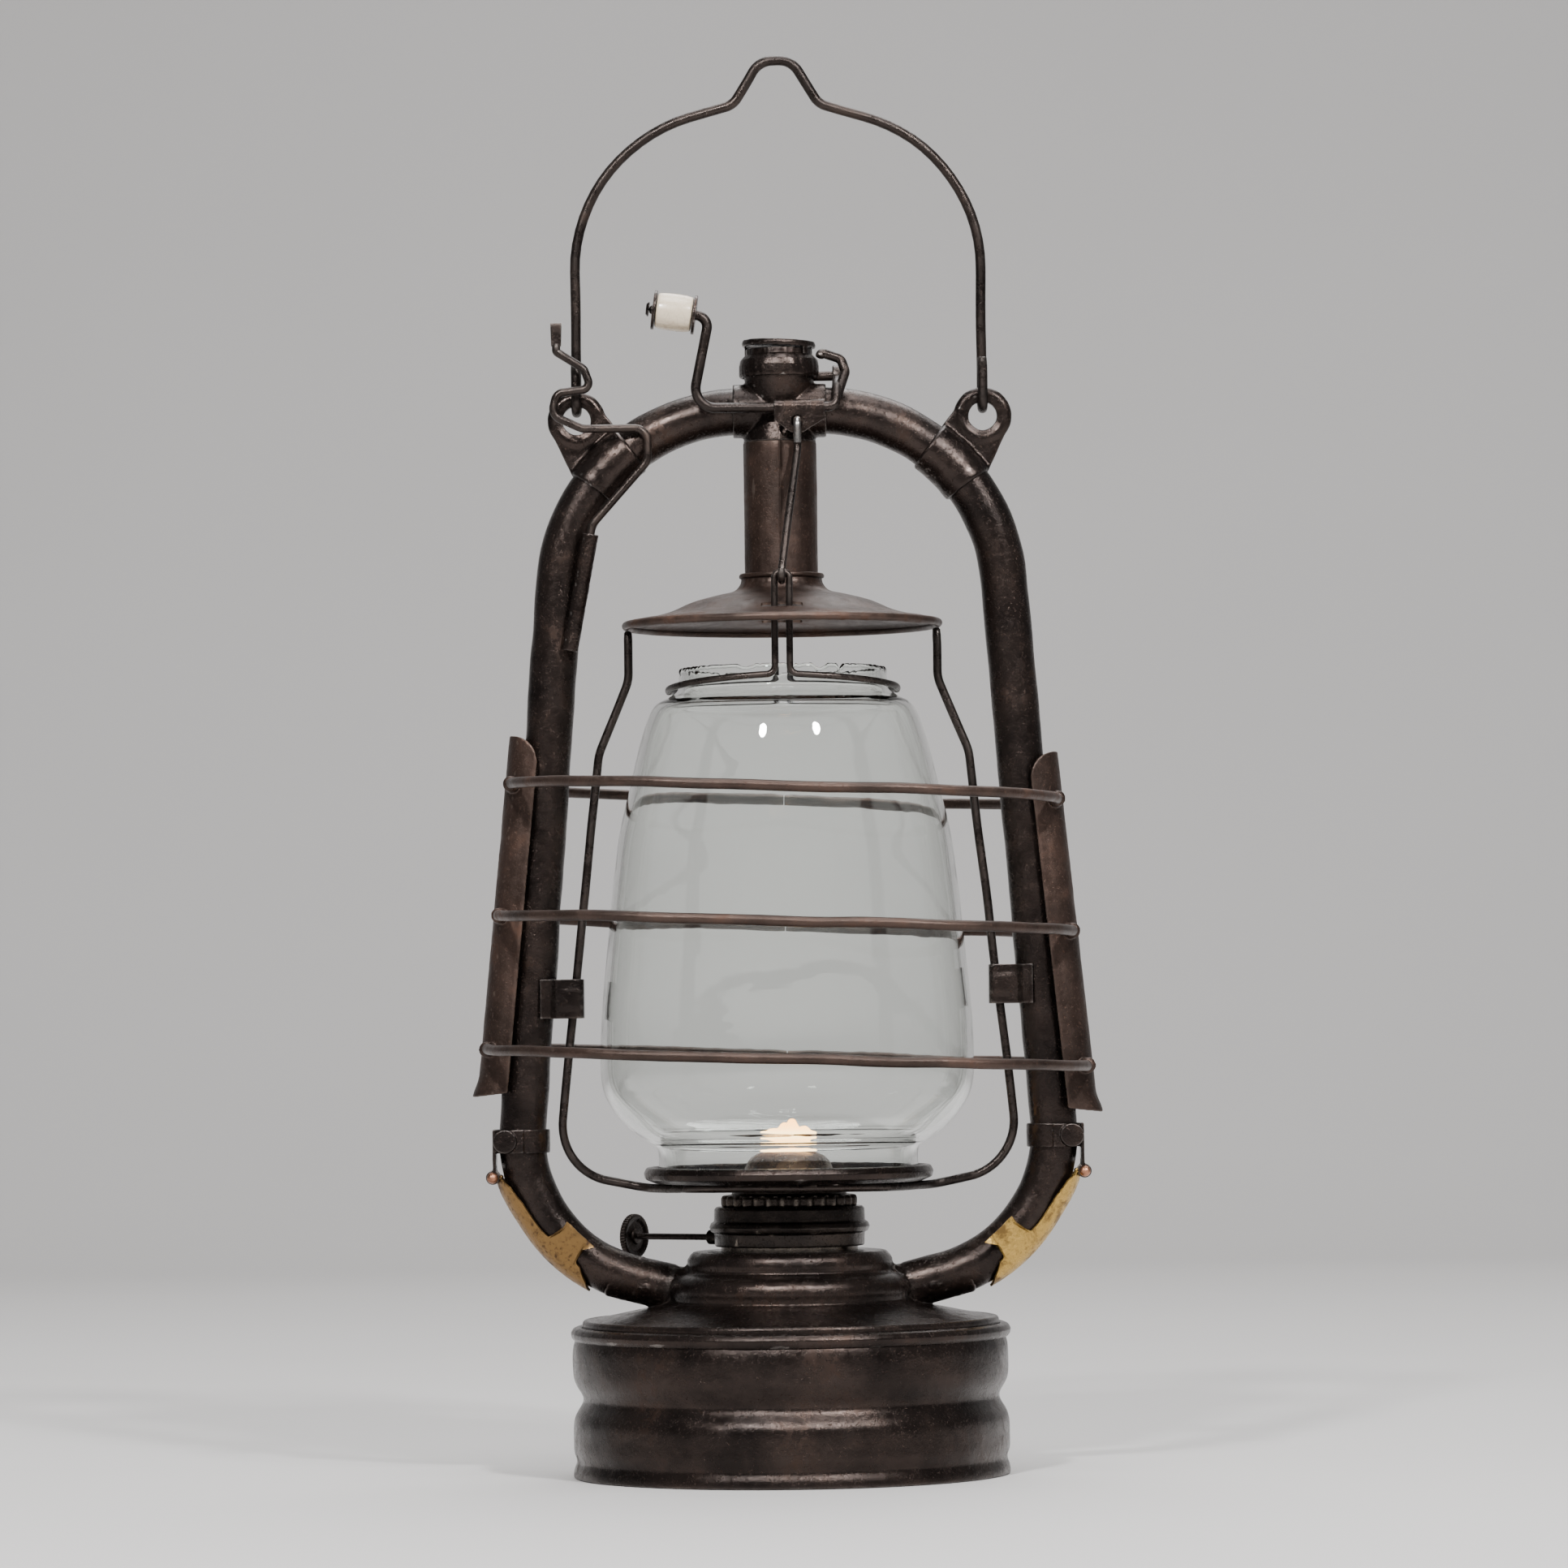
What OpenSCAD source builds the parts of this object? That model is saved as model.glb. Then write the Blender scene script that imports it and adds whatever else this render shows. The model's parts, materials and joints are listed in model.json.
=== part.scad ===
// Railway lantern: a paraffin hand lantern with a bent-tube frame, a glass globe that is
// raised by a wire crank on the crown, a lift-off wire guard and a carrying bail.
// Millimetres, +Z up, -Y is the front. The origin is the middle of the tank's underside.

/* [Tank] */
// Radius of the tank at its foot
tank_r = 65.2; // [63:0.1:67]
// Height of the rolled seam that joins the tank's wall and top
seam_z = 43; // [42:0.5:44]
// Sheet thickness of the shells
sheet = 1; // [0.8:0.1:1.2]

/* [Frame] */
// Outer diameter of the side tubes
tube_d = 14.1; // [13.4:0.1:14.1]
// Height of the side tubes' axis at the crown
crown_z = 318.6; // [318:0.1:319]
// Outer diameter of the central chimney tube
chimney_d = 22; // [21:0.1:22]

/* [Globe and lift] */
// Greatest radius of the glass
globe_r = 55.9; // [54:0.1:57]
// Thickness of the glass
glass_t = 2; // [1.5:0.1:2.5]
// How far the globe rises
lift_travel = 19; // [15:0.5:19]
// Diameter of the globe frame's wire
frame_wire_d = 2.6; // [2:0.1:2.8]
// Diameter of the crank's wire
lever_d = 3; // [2.8:0.1:3]

/* [Bail and guard] */
// Diameter of the bail's wire
bail_d = 3; // [2.6:0.1:3.2]
// Diameter of the guard's hoops
hoop_d = 3.2; // [2.8:0.1:3.2]
// Slope of the hoops, the right end lower
hoop_tilt = 2.2; // [0:0.1:2.4]

/* [Burner] */
// Width of the flat wick
wick_w = 17; // [15:0.5:17]
// Angle of the wick shaft behind the left-right line
burner_angle = 33; // [20:1:40]

/* [Hidden] */
$fn = 64;

cut = 1; // how far a cutter runs past the face that it cuts
running = 0.05; // radial gap of a pin in its bore

// Side tube: two corners joined by a straight, sloping run
tube_r = tube_d / 2;
tube_bore = tube_r - sheet;
tube_slope = 0.0796; // outward millimetres for each millimetre down
shoulder_x = 62.7; // where the sloping line meets the crown's axis
crown_bend = 55;
foot_bend = 44;
foot_corner = [82.3, 0, 67.8];
tube_foot = [33, 0, 55.5];
tube_path = [[9, 0, crown_z], [shoulder_x, 0, crown_z], foot_corner, tube_foot];
tube_bends = [0, crown_bend, foot_bend, 0];
tube_slope_angle = atan(tube_slope);
// Centres of the two bends
crown_centre = [shoulder_x - crown_bend * tan((90 - tube_slope_angle) / 2), crown_z - crown_bend];
foot_centre = bend_centre(tube_path, foot_bend, 2);

// Eye rings for the bail
ear_x = 61;
ear_z = 316.2;
ear_ring_r = 6.4;
ear_wire_r = 1.7;
bail_pivot_z = ear_z + ear_ring_r;
bail_hook_r = 3.8;
bail_top_z = 424.5;
bail_free_end_z = 334;

// Crank on the crown
axle_r = 1.5;
axle_z = 329;
run_y = -13;
run_z = crown_z;
link_x = [-1.6, 13.4];
link_hole = [5.2, 314.3];
grip_start = [-38.6, run_y, 348.4];
grip_corner = [-20.6, run_y, 345.9];

// Lift rod, hold-downs, canopy
rod_r = 1.15;
rod_back_y = -12.9;
rod_front_y = -20.7;
loop_y = -33;
loop_z = 268.2;
strand_x = 2.2;
holddown_r = 1;
canopy_r = 46.8;
canopy_z = 254.4;

// Globe plate and burner
plate_z = 87.4;
plate_r = 41.4;
cone_r = 13.6;
shaft_r = 0.95;
shaft_z = 70.8;
shaft_side = -4.7; // distance of the shaft from the wick's middle plane
knob_reach = 51.9;

// Filler on the rear shoulder
filler_y = 49;
filler_r = 8;

// Guard
guard_z = [112, 217];
guard_slope = 0.1;
hoop_z = [124.7, 164.6, 203.8];
hoop_depth = 72;
bead_r = 2.2;

// Hinged clips at the foot bends
hinge = [88.4, 89.7];
hinge_pin_r = 1.25;
knuckle_r = 2.1;
clip_angles = [-53, -37];

// Lamp tool in its sheath
sheath_foot = [-63.1, -7.9, 248.8];
sheath_mouth = [-56.9, -8.9, 281.6];
tool_r = 1.25;

steel = "#3b322e";
wire = "#2e2826";
brass = "#a8842f";

// ---- Vectors, outlines and bent bars ----

function unit(v) = v / norm(v);
function flip(p) = [-p[0], p[1], p[2]];
function mirrored(path) = concat(path, [for (i = [len(path) - 1:-1:0]) flip(path[i])]);
function there_and_back(list) = concat(list, [for (i = [len(list) - 1:-1:0]) list[i]]);
function turn(a, b, c) = acos(min(1, max(-1, unit(b - a) * unit(c - b))));

// Length of straight bar that the bend at corner i takes away on each side
function taken(path, bends, i) =
    i == 0 || i == len(path) - 1 ? 0 : bends[i] * tan(turn(path[i - 1], path[i], path[i + 1]) / 2);

// Centre of the bend at corner i of a path in the XZ plane, as [x, z]
function bend_centre(path, bend, i) =
    let (back = unit(path[i - 1] - path[i]), on = unit(path[i + 1] - path[i]),
         half = turn(path[i - 1], path[i], path[i + 1]) / 2,
         c = path[i] + unit(back + on) * bend / cos(half))
    [c[0], c[2]];

// Point on an outline that passes smoothly through its corners
function blend(a, b, c, d, t) =
    (2 * b + (c - a) * t + (2 * a - 5 * b + 4 * c - d) * t * t
        + (3 * b - a - 3 * c + d) * t * t * t) / 2;
function smooth(points, steps) =
    let (last = len(points) - 1)
    concat([for (i = [0:last - 1], k = [0:steps - 1])
        blend(points[max(i - 1, 0)], points[i], points[i + 1], points[min(i + 2, last)], k / steps)],
        [points[last]]);

// The outline moved to its left by t, which is inward for an outline drawn upward
function inset(points, t) =
    let (last = len(points) - 1)
    [for (i = [0:last])
        let (d = unit(points[min(i + 1, last)] - points[max(i - 1, 0)]))
        [max(0.01, points[i][0] - t * d[1]), points[i][1] + t * d[0]]];

module revolve(points) rotate_extrude() polygon(points);

// Sheet shell turned about Z, outline from its lowest and outermost point
module turned_shell(points, t) {
    inner = inset(points, t);
    revolve(concat(points, [for (i = [len(inner) - 1:-1:0]) inner[i]]));
}

module tube(h, r, bore) {
    difference() {
        cylinder(h = h, r = r);
        translate([0, 0, -cut])
            cylinder(h = h + 2 * cut, r = bore);
    }
}

module ring(r, wire_r) rotate_extrude() translate([r, 0]) circle(r = wire_r);

// Sets Z along dir at point p
module along(p, dir) {
    w = unit(dir);
    u = unit(cross(abs(w[2]) < 0.9 ? [0, 0, 1] : [1, 0, 0], w));
    v = cross(w, u);
    multmatrix([[u[0], v[0], w[0], p[0]], [u[1], v[1], w[1], p[1]], [u[2], v[2], w[2], p[2]],
        [0, 0, 0, 1]])
        children();
}

module bar(a, b, r) along(a, b - a) cylinder(h = norm(b - a), r = r);

// Bend at corner b between straights from a and to c; its section is the child
module bend(a, b, c, radius) {
    u = unit(b - a);
    n = unit(cross(u, unit(c - b)));
    side = cross(n, u);
    angle = turn(a, b, c);
    o = b - u * radius * tan(angle / 2) + side * radius;
    multmatrix([[-side[0], u[0], n[0], o[0]], [-side[1], u[1], n[1], o[1]],
        [-side[2], u[2], n[2], o[2]], [0, 0, 0, 1]])
        rotate_extrude(angle = angle)
            translate([radius, 0])
                children();
}

// Round section, or a ring where bore is above 0
module section(r, bore) {
    difference() {
        circle(r = r);
        if (bore > 0)
            circle(r = bore);
    }
}

// Round bar of exact straights and bends
module bent(path, bends, r) {
    for (i = [0:len(path) - 2]) {
        u = unit(path[i + 1] - path[i]);
        a = path[i] + u * taken(path, bends, i);
        b = path[i + 1] - u * taken(path, bends, i + 1);
        if (norm(b - a) > 0.01)
            bar(a, b, r);
    }
    for (i = [1:len(path) - 2])
        bend(path[i - 1], path[i], path[i + 1], bends[i])
            circle(r = r);
}

// Stations along a bent path, each a point and a direction
function bend_stations(a, b, c, radius, step) =
    let (u = unit(b - a), n = unit(cross(u, unit(c - b))), side = cross(n, u), angle = turn(a, b, c),
         o = b - u * radius * tan(angle / 2) + side * radius, count = ceil(angle / step))
    [for (j = [0:count])
        let (t = angle * j / count)
        [o + radius * (u * sin(t) - side * cos(t)), u * cos(t) + side * sin(t)]];
function stations(path, bends, step) =
    let (last = len(path) - 1)
    concat([[path[0], unit(path[1] - path[0])]],
        [for (i = [1:last - 1]) each bend_stations(path[i - 1], path[i], path[i + 1], bends[i], step)],
        [[path[last], unit(path[last] - path[last - 1])]]);
function distinct(list) =
    [for (i = [0:len(list) - 1]) if (i == 0 || norm(list[i][0] - list[i - 1][0]) > 0.3) list[i]];
function square_to(n, dir) = unit(n - (n * dir) * dir);
function first_normal(dir) = unit(cross(abs(dir[2]) < 0.9 ? [0, 0, 1] : [1, 0, 0], dir));
// A sideways direction at every station that never twists about the path
function carried(list) =
    [for (i = 0, n = first_normal(list[0][1]); i < len(list);
        i = i + 1, n = i < len(list) ? square_to(n, list[i][1]) : n) n];
function rings(list, normals, r, sides) =
    [for (i = [0:len(list) - 1], k = [0:sides - 1])
        let (a = 360 * k / sides)
        list[i][0] + r * (normals[i] * cos(a) + cross(list[i][1], normals[i]) * sin(a))];
function skin(count, sides, first, inward) =
    [for (i = [0:count - 2], k = [0:sides - 1])
        let (a = first + i * sides + k, b = first + i * sides + (k + 1) % sides,
             c = b + sides, d = a + sides)
        each inward ? [[a, b, c], [a, c, d]] : [[a, c, b], [a, d, c]]];

// Round wire swept along a path as one closed skin
module swept_wire(path, bends, r, sides = 12, step = 15) {
    list = distinct(stations(path, bends, step));
    count = len(list);
    polyhedron(rings(list, carried(list), r, sides),
        concat(skin(count, sides, 0, false), [[for (k = [0:sides - 1]) k]],
            [[for (k = [sides - 1:-1:0]) (count - 1) * sides + k]]));
}

// Round tube swept along a path as one closed skin, inside and out
module swept_tube(path, bends, r, bore, sides = 24, step = 6) {
    list = distinct(stations(path, bends, step));
    normals = carried(list);
    count = len(list);
    all = count * sides;
    end = (count - 1) * sides;
    polyhedron(concat(rings(list, normals, r, sides), rings(list, normals, bore, sides)),
        concat(skin(count, sides, 0, false), skin(count, sides, all, true),
            [for (k = [0:sides - 1]) let (m = (k + 1) % sides) each
                [[k, m, all + m], [k, all + m, all + k],
                 [end + k, all + end + m, end + m], [end + k, all + end + k, all + end + m]]]));
}

module mirrored_x(on) mirror([on ? 1 : 0, 0, 0]) children();

// ---- Tank ----

function groove(z, at, width) = exp(-pow((z - at) / width, 2));
function tank_wall_r(z) =
    tank_r - 2.9 * groove(z, 23.3, 4) - 1.5 * groove(z, seam_z + 1, 4) - 0.9 * groove(z, 5, 2);
tank_outline = concat([[tank_wall_r(0), 0], [tank_wall_r(0), 0.5]],
    [for (z = [1:1:seam_z - 1]) [tank_wall_r(z), z]]);
shoulder_outline = concat([[62.3, seam_z + 0.5], [62.3, seam_z + 3], [61.5, seam_z + 3.6],
    [38, 51.2], [36.6, 52], [35.9, 53.4], [35.8, 57.6], [35, 59.3], [33.4, 60], [31.6, 60.4],
    [30.2, 61.4], [29.9, 63], [29.9, 64.6], [29.2, 66.2], [27.6, 66.9], [20.6, 67]]);

module tank_body() color(steel) turned_shell(tank_outline, sheet);

module tank_bottom() {
    pan_r = tank_r - sheet - 2.2;
    color(steel)
        turned_shell([[pan_r, 0.4], [pan_r, 3.2], [pan_r - 1.2, 4.4], [0.01, 4.4]], sheet);
}

module tank_seam() {
    color(steel)
        translate([0, 0, seam_z])
            difference() {
                ring(63.1, 2.2);
                translate([0, 0, -cut - 6])
                    cylinder(h = 20, r = 62.4);
                revolve(concat([[0, -8]],
                    [for (z = [-8:1:-1]) [tank_wall_r(seam_z + z) + running, z]], [[0, -1]]));
            }
}

module tank_top() {
    color(steel)
        difference() {
            turned_shell(shoulder_outline, sheet);
            for (left = [false, true])
                mirrored_x(left)
                    bar(tube_foot, tube_foot + 13 * unit(foot_corner - tube_foot), tube_r + running);
            translate([0, filler_y, 40])
                cylinder(h = 20, r = filler_r + running);
        }
}

module filler_neck() {
    color(steel)
        translate([0, filler_y, 46])
            tube(8, filler_r, filler_r - 1.5);
}

module filler_cap() {
    color(steel)
        translate([0, filler_y, 51.6])
            difference() {
                union() {
                    cylinder(h = 6, r = 10);
                    translate([0, 0, 6])
                        cylinder(h = 1.2, r1 = 10, r2 = 8.6);
                    for (a = [0:18:342])
                        rotate(a)
                            translate([10, 0, 0])
                                cylinder(h = 5.6, r = 0.7, $fn = 16);
                }
                translate([0, 0, -cut])
                    cylinder(h = 4.6 + cut, r = filler_r + 0.3);
            }
}

module filler_gasket() {
    color("#26211f")
        translate([0, filler_y, 54.4])
            tube(1.7, filler_r - 0.1, 3);
}

// ---- Frame ----

module right_tube() color(steel) swept_tube(tube_path, tube_bends, tube_r, tube_bore);
module left_tube() color(steel) mirrored_x(true) swept_tube(tube_path, tube_bends, tube_r, tube_bore);

funnel = [[10.9, crown_z - 9.6], [8.6, crown_z + 1.9], [10.8, crown_z + 10], [10.8, crown_z + 15]];

module crown() {
    color(steel)
        difference() {
            union() {
                revolve(concat([[0, funnel[0][1]]], funnel, [[0, funnel[3][1]]]));
                translate([-14, 0, crown_z])
                    rotate([0, 90, 0])
                        cylinder(h = 28, r = tube_r + sheet);
            }
            translate([-15, 0, crown_z])
                rotate([0, 90, 0])
                    cylinder(h = 30, r = tube_r + running);
            revolve([[0, crown_z - 10], [9.9, crown_z - 10], [7.6, crown_z + 1.9],
                [9.8, crown_z + 10], [9.8, crown_z + 16], [0, crown_z + 16]]);
            translate([-20, 0, axle_z])
                rotate([0, 90, 0])
                    cylinder(h = 40, r = axle_r + running);
        }
}

module chimney_tube() {
    color(steel)
        translate([0, 0, 262])
            tube(crown_z - 9.7 - 262, chimney_d / 2, chimney_d / 2 - sheet);
}

module chimney_collar() {
    z = crown_z + 10;
    color(steel)
        difference() {
            revolve([[10.9, z], [11.6, z], [11.9, z + 1], [11.9, z + 3.6], [11.4, z + 5.6],
                [10.2, z + 6.6], [9.9, z + 6.8], [9.9, z + 8.6], [9, z + 8.6], [9, z + 5.2],
                [10.9, z + 5.2]]);
            translate([-20, 0, axle_z])
                rotate([0, 90, 0])
                    cylinder(h = 40, r = axle_r + running);
        }
}

module chimney_lid() {
    z = crown_z + 20;
    color(steel) {
        translate([0, 0, z])
            rotate([0, 2.2, 0])
                rotate_extrude()
                    polygon([[0, -0.4], [9.6, -0.4], [9.8, -0.9], [10.9, -0.9], [11.1, 0],
                        [10.8, 0.9], [9.4, 1.1], [8, 0.7], [0, 0.7]]);
        for (a = [-40, 40, 160])
            rotate(a)
                translate([9.95, -1, z - 3.4])
                    cube([0.7, 2, a == 160 ? 3.2 : 2.5]);
    }
}

// Eye ring, its web and the band round the bent tube
module ear() {
    rotate([90, 0, 0]) {
        translate([crown_centre[0], crown_centre[1], 0])
            rotate(36)
                rotate_extrude(angle = 17)
                    translate([crown_bend, 0])
                        section(tube_r + 1, tube_r + running);
        translate([0, 0, -1])
            linear_extrude(2)
                difference() {
                    polygon([polar(35, 62.6), polar(37.5, 66), [ear_x + 6, ear_z - 3.4],
                        [ear_x - 3.4, ear_z + 6], polar(51.5, 66), polar(54, 62.6)]);
                    translate([ear_x, ear_z])
                        circle(r = ear_ring_r - ear_wire_r + 0.1);
                    translate(crown_centre)
                        circle(r = crown_bend + tube_r + 0.4);
                }
        translate([ear_x, ear_z, 0])
            ring(ear_ring_r, ear_wire_r);
    }
}
function polar(a, r) = crown_centre + r * [cos(a), sin(a)];

module left_ear() color(steel) mirrored_x(true) ear();
module right_ear() color(steel) ear();

// Sheet loop that keeps the globe frame's wire beside the side tube
module guide(z) {
    translate([0, 0, z])
        linear_extrude(11.7)
            polygon([[75.2, -8.1], [60.4, -4.2], [60.4, 4.2], [75.2, 8.1], [75.2, 7.3], [61.2, 3.6],
                [61.2, -3.6], [75.2, -7.3]]);
}
module left_guide() color(steel) mirrored_x(true) guide(137);
module right_guide() color(steel) guide(140);

module tool_sheath() {
    dir = unit(sheath_mouth - sheath_foot);
    color(steel)
        difference() {
            union() {
                bar(sheath_foot - 2 * dir, sheath_mouth, 2.4);
                bar(sheath_foot + 6 * dir, sheath_foot + 6 * dir + 2.9 * [-0.55, 0.83, 0], 1.8);
            }
            bar(sheath_foot, sheath_mouth + cut * dir, tool_r + 0.25);
        }
}

// ---- Bail ----

function bail_y(z) = bail_hook_r * (bail_top_z - z) / (bail_top_z - bail_pivot_z + bail_hook_r);
function bail_point(x, z) = [x, bail_y(z), z];
bail_floor = bail_pivot_z - bail_hook_r;
bail_half = [[ear_x, -bail_hook_r, bail_free_end_z], [ear_x, -bail_hook_r, bail_floor],
    [ear_x, bail_hook_r, bail_floor], bail_point(ear_x, 397.5), bail_point(13, 411.3),
    bail_point(5, bail_top_z)];
bail_bends = [0, bail_hook_r, bail_hook_r - 0.1, 48, 6, 7];

module bail() {
    color(wire)
        swept_wire(mirrored(bail_half), there_and_back(bail_bends), bail_d / 2);
}

// ---- Crank, link and rod ----

module lever_axle() {
    color(wire)
        translate([-12.4, 0, axle_z])
            rotate([0, 90, 0]) {
                cylinder(h = 33, r = axle_r);
                translate([0, 0, 32])
                    cylinder(h = 1.4, r1 = 2.5, r2 = 1.8);
                translate([0, 0, -0.9])
                    cylinder(h = 0.9, r1 = 1.7, r2 = 2.2);
            }
}

eye_r = 3.2;

// Point at reach from the axle, from the middle of the eye towards a direction
function off_axle(dir, reach) = [17.5, 0, axle_z] + reach * unit(dir);

// The wire bends clear of the right tube on its way up to the eye
bend_out = [17.3, -10.6, 324.4];

module lever() {
    color(wire) {
        swept_wire([grip_start, grip_corner, [-26.2, run_y, run_z], [16.6, run_y, run_z], bend_out,
            off_axle(bend_out - [17.5, 0, axle_z], eye_r + 0.15)], [0, 2.5, 4.5, 2.5, 4, 0],
            lever_d / 2);
        swept_wire([off_axle([0, -0.45, 1], eye_r + 0.15), off_axle([0.1, -0.55, 1], eye_r + 3.2),
            [13.3, -6.5, 336]], [0, 1.4, 0], lever_d / 2);
    }
}

module lever_eye() {
    color(wire)
        translate([16, 0, axle_z])
            rotate([0, 90, 0])
                tube(3, eye_r, axle_r + running);
}

module on_grip(s) {
    dir = unit(grip_corner - grip_start);
    along(grip_start + s * dir, dir)
        children();
}

// Two washers and the cap that is riveted over the wire's end
module grip_washers() {
    color(steel) {
        for (s = [1.1, 13.2])
            on_grip(s)
                tube(0.9, 5.9, lever_d / 2 + 0.02);
        along(grip_start, grip_start - grip_corner)
            cylinder(h = 0.9, r1 = 2.4, r2 = 1.6);
    }
}

module grip() {
    color("#e6dcc6")
        on_grip(2.2)
            revolve([[lever_d / 2 + 0.08, 0], [5, 0], [5.4, 0.5], [5.5, 2.5], [5.5, 8.3], [5.4, 10.3],
                [5, 10.8], [lever_d / 2 + 0.08, 10.8]]);
}

module lift_link() {
    run_bore = lever_d / 2 + running;
    face_y = run_y - run_bore - 0.8;
    color(steel) {
        translate([link_x[0], run_y, run_z])
            rotate([0, 90, 0])
                tube(link_x[1] - link_x[0], run_bore + 0.8, run_bore);
        translate([0, face_y + 0.9, 0])
            rotate([90, 0, 0])
                linear_extrude(0.9)
                    difference() {
                        polygon([[link_x[0], run_z - 0.4], [link_x[0], 314.6], [-0.6, 313.9],
                            [2.4, 311.6], [3.6, 310.9], [7, 310.9], [8.6, 312], [12, 314],
                            [link_x[1], 314.8], [link_x[1], run_z - 0.4]]);
                        translate(link_hole)
                            circle(r = 1.85);
                    }
    }
}

rod_path = [[link_hole[0], rod_front_y, 307.2], [link_hole[0], rod_front_y, link_hole[1]],
    [link_hole[0], rod_back_y, link_hole[1]], [link_hole[0], rod_back_y, 306],
    [0, loop_y + 2.8, 268.6], [0, loop_y + 2.8, loop_z - 2.6], [0, loop_y - 2.8, loop_z - 2.6],
    [0, loop_y - 2.8, 269]];

module pull_rod() color(wire) swept_wire(rod_path, [0, 1.9, 1.9, 6, 6, 2, 2, 0], rod_r);

holddown_half = [[34.3, -2, 234.6], [34.1, loop_y - 0.9, 236.2], [strand_x, loop_y, 238],
    [strand_x, loop_y, loop_z]];

module holddown() {
    swept_wire(mirrored(holddown_half), there_and_back([0, 29, 2.5, 2]), holddown_r, 10);
}
module holddown_front() color(wire) holddown();
module holddown_rear() color(wire) mirror([0, 1, 0]) holddown();

// ---- Globe and what carries it ----

frame_half = [[46.3, 0, 253], [46.3, 0, 238], [55.4, 0, 216], [69.2, 0, 91.6], [43, 0, 86.1],
    [27, -24.2, 86.1]];

module globe_frame() {
    color(wire)
        swept_wire(mirrored(frame_half), there_and_back([0, 12, 16, 17, 8, 10]), frame_wire_d / 2);
}

module globe_plate() {
    color(steel)
        translate([0, 0, plate_z])
            difference() {
                union() {
                    revolve([[15, 0], [40, 0], [41.9, 1.4], [41.9, 4.2], [40.9, 4.2], [40.9, 2],
                        [39.6, 1], [16, 1], [16, 2.4], [15, 2.4]]);
                    translate([0, 0, 3])
                        ring(plate_r, 2);
                }
                translate([0, 0, 1])
                    cylinder(h = 8, r = 39.9);
                for (a = [0:15:345])
                    rotate(a)
                        translate([28, 0, -cut])
                            cylinder(h = 4, r = 1.6, $fn = 24);
            }
}

canopy_outline = [[47.3, canopy_z], [44.2, 256], [39, 256.9], [33.5, 258.4], [27, 261.2],
    [20, 263.1], [14.6, 264.4], [12.4, 266.6], [12, 269.2]];

module canopy() {
    color(steel)
        difference() {
            union() {
                turned_shell(smooth(canopy_outline, 3), 0.8);
                translate([0, 0, canopy_z])
                    ring(canopy_r, 1.3);
                translate([0, 0, 268.4])
                    tube(1, 12.7, chimney_d / 2 + 0.2);
            }
            for (side = [-1, 1])
                translate([-6.2, side * 33 - 2, 240])
                    cube([12.4, 4, 40]);
        }
}

k = globe_r / 55.9;
globe_outline = [[39, 88.5], [39, 97], [41.5, 99.4], [46.6 * k, 102.9], [52.6 * k, 109.8],
    [55.4 * k, 116.5], [globe_r, 126], [55.3 * k, 140], [53.7 * k, 157], [51.8 * k, 175],
    [49.6 * k, 192], [46.5 * k, 205], [43.4 * k, 218], [40.6, 226.6], [38.2, 230.6],
    [34.6, 232.6], [31.8, 234.6], [31.3, 237], [31.3, 241]];

module globe() {
    color([0.86, 0.9, 0.86, 0.35])
        turned_shell(smooth(globe_outline, 3), glass_t);
}

// ---- Guard ----

function guard_apex(z) = 83.6 + (hoop_z[2] - z) * guard_slope;
function hoop_half(i) = guard_apex(hoop_z[i]) - bead_r;
guard_drop = hoop_half(1) * sin(hoop_tilt);

// Where hoop i passes the plate, before the plate's drop; side is 1 at the right
function hoop_end(i, side) = [hoop_half(i) * cos(hoop_tilt), 0,
    hoop_z[i] - side * (hoop_half(i) - hoop_half(1)) * sin(hoop_tilt)];

// Half-round channel with a bead over each hoop; its apex leans with the side tube
module guard_plate(side) {
    r = 9;
    foot = [guard_apex(guard_z[0]) - r, 0, guard_z[0]];
    head = [guard_apex(guard_z[1]) - r, 0, guard_z[1]];
    length = norm(head - foot);
    difference() {
        union() {
            along(foot, head - foot)
                difference() {
                    cylinder(h = length, r = r);
                    translate([0, 0, -cut])
                        cylinder(h = length + 2 * cut, r = r - 0.8);
                    translate([-15, -30, -cut])
                        cube([30, 31, length + 2 * cut]);
                }
            for (i = [0:2])
                translate(hoop_end(i, side) - [0, 9.5, 0])
                    rotate([-90, 0, 0])
                        cylinder(h = 19, r = bead_r);
        }
        for (i = [0:2])
            translate(hoop_end(i, side) - [0, 20, 0])
                rotate([-90, 0, 0])
                    cylinder(h = 40, r = hoop_d / 2 + running);
    }
}
module guard_plate_left() color(steel) translate([0, 0, guard_drop]) mirrored_x(true) guard_plate(-1);
module guard_plate_right() color(steel) translate([0, 0, -guard_drop]) guard_plate(1);

module hoop(i) {
    x = hoop_half(i);
    y = hoop_depth;
    translate([0, 0, hoop_z[i]])
        rotate([0, hoop_tilt, 0])
            bent([[0, y, 0], [x, y, 0], [x, -y, 0], [-x, -y, 0], [-x, y, 0], [0, y, 0]],
                [0, 58, 58, 58, 58, 0], hoop_d / 2);
}
module hoop_top() color(wire) hoop(2);
module hoop_middle() color(wire) hoop(1);
module hoop_bottom() color(wire) hoop(0);

// ---- Clips hinged under the tubes ----

module knuckle(y, h, r = knuckle_r) {
    translate([hinge[0], y, hinge[1]])
        rotate([-90, 0, 0])
            cylinder(h = h, r = r);
}

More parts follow.
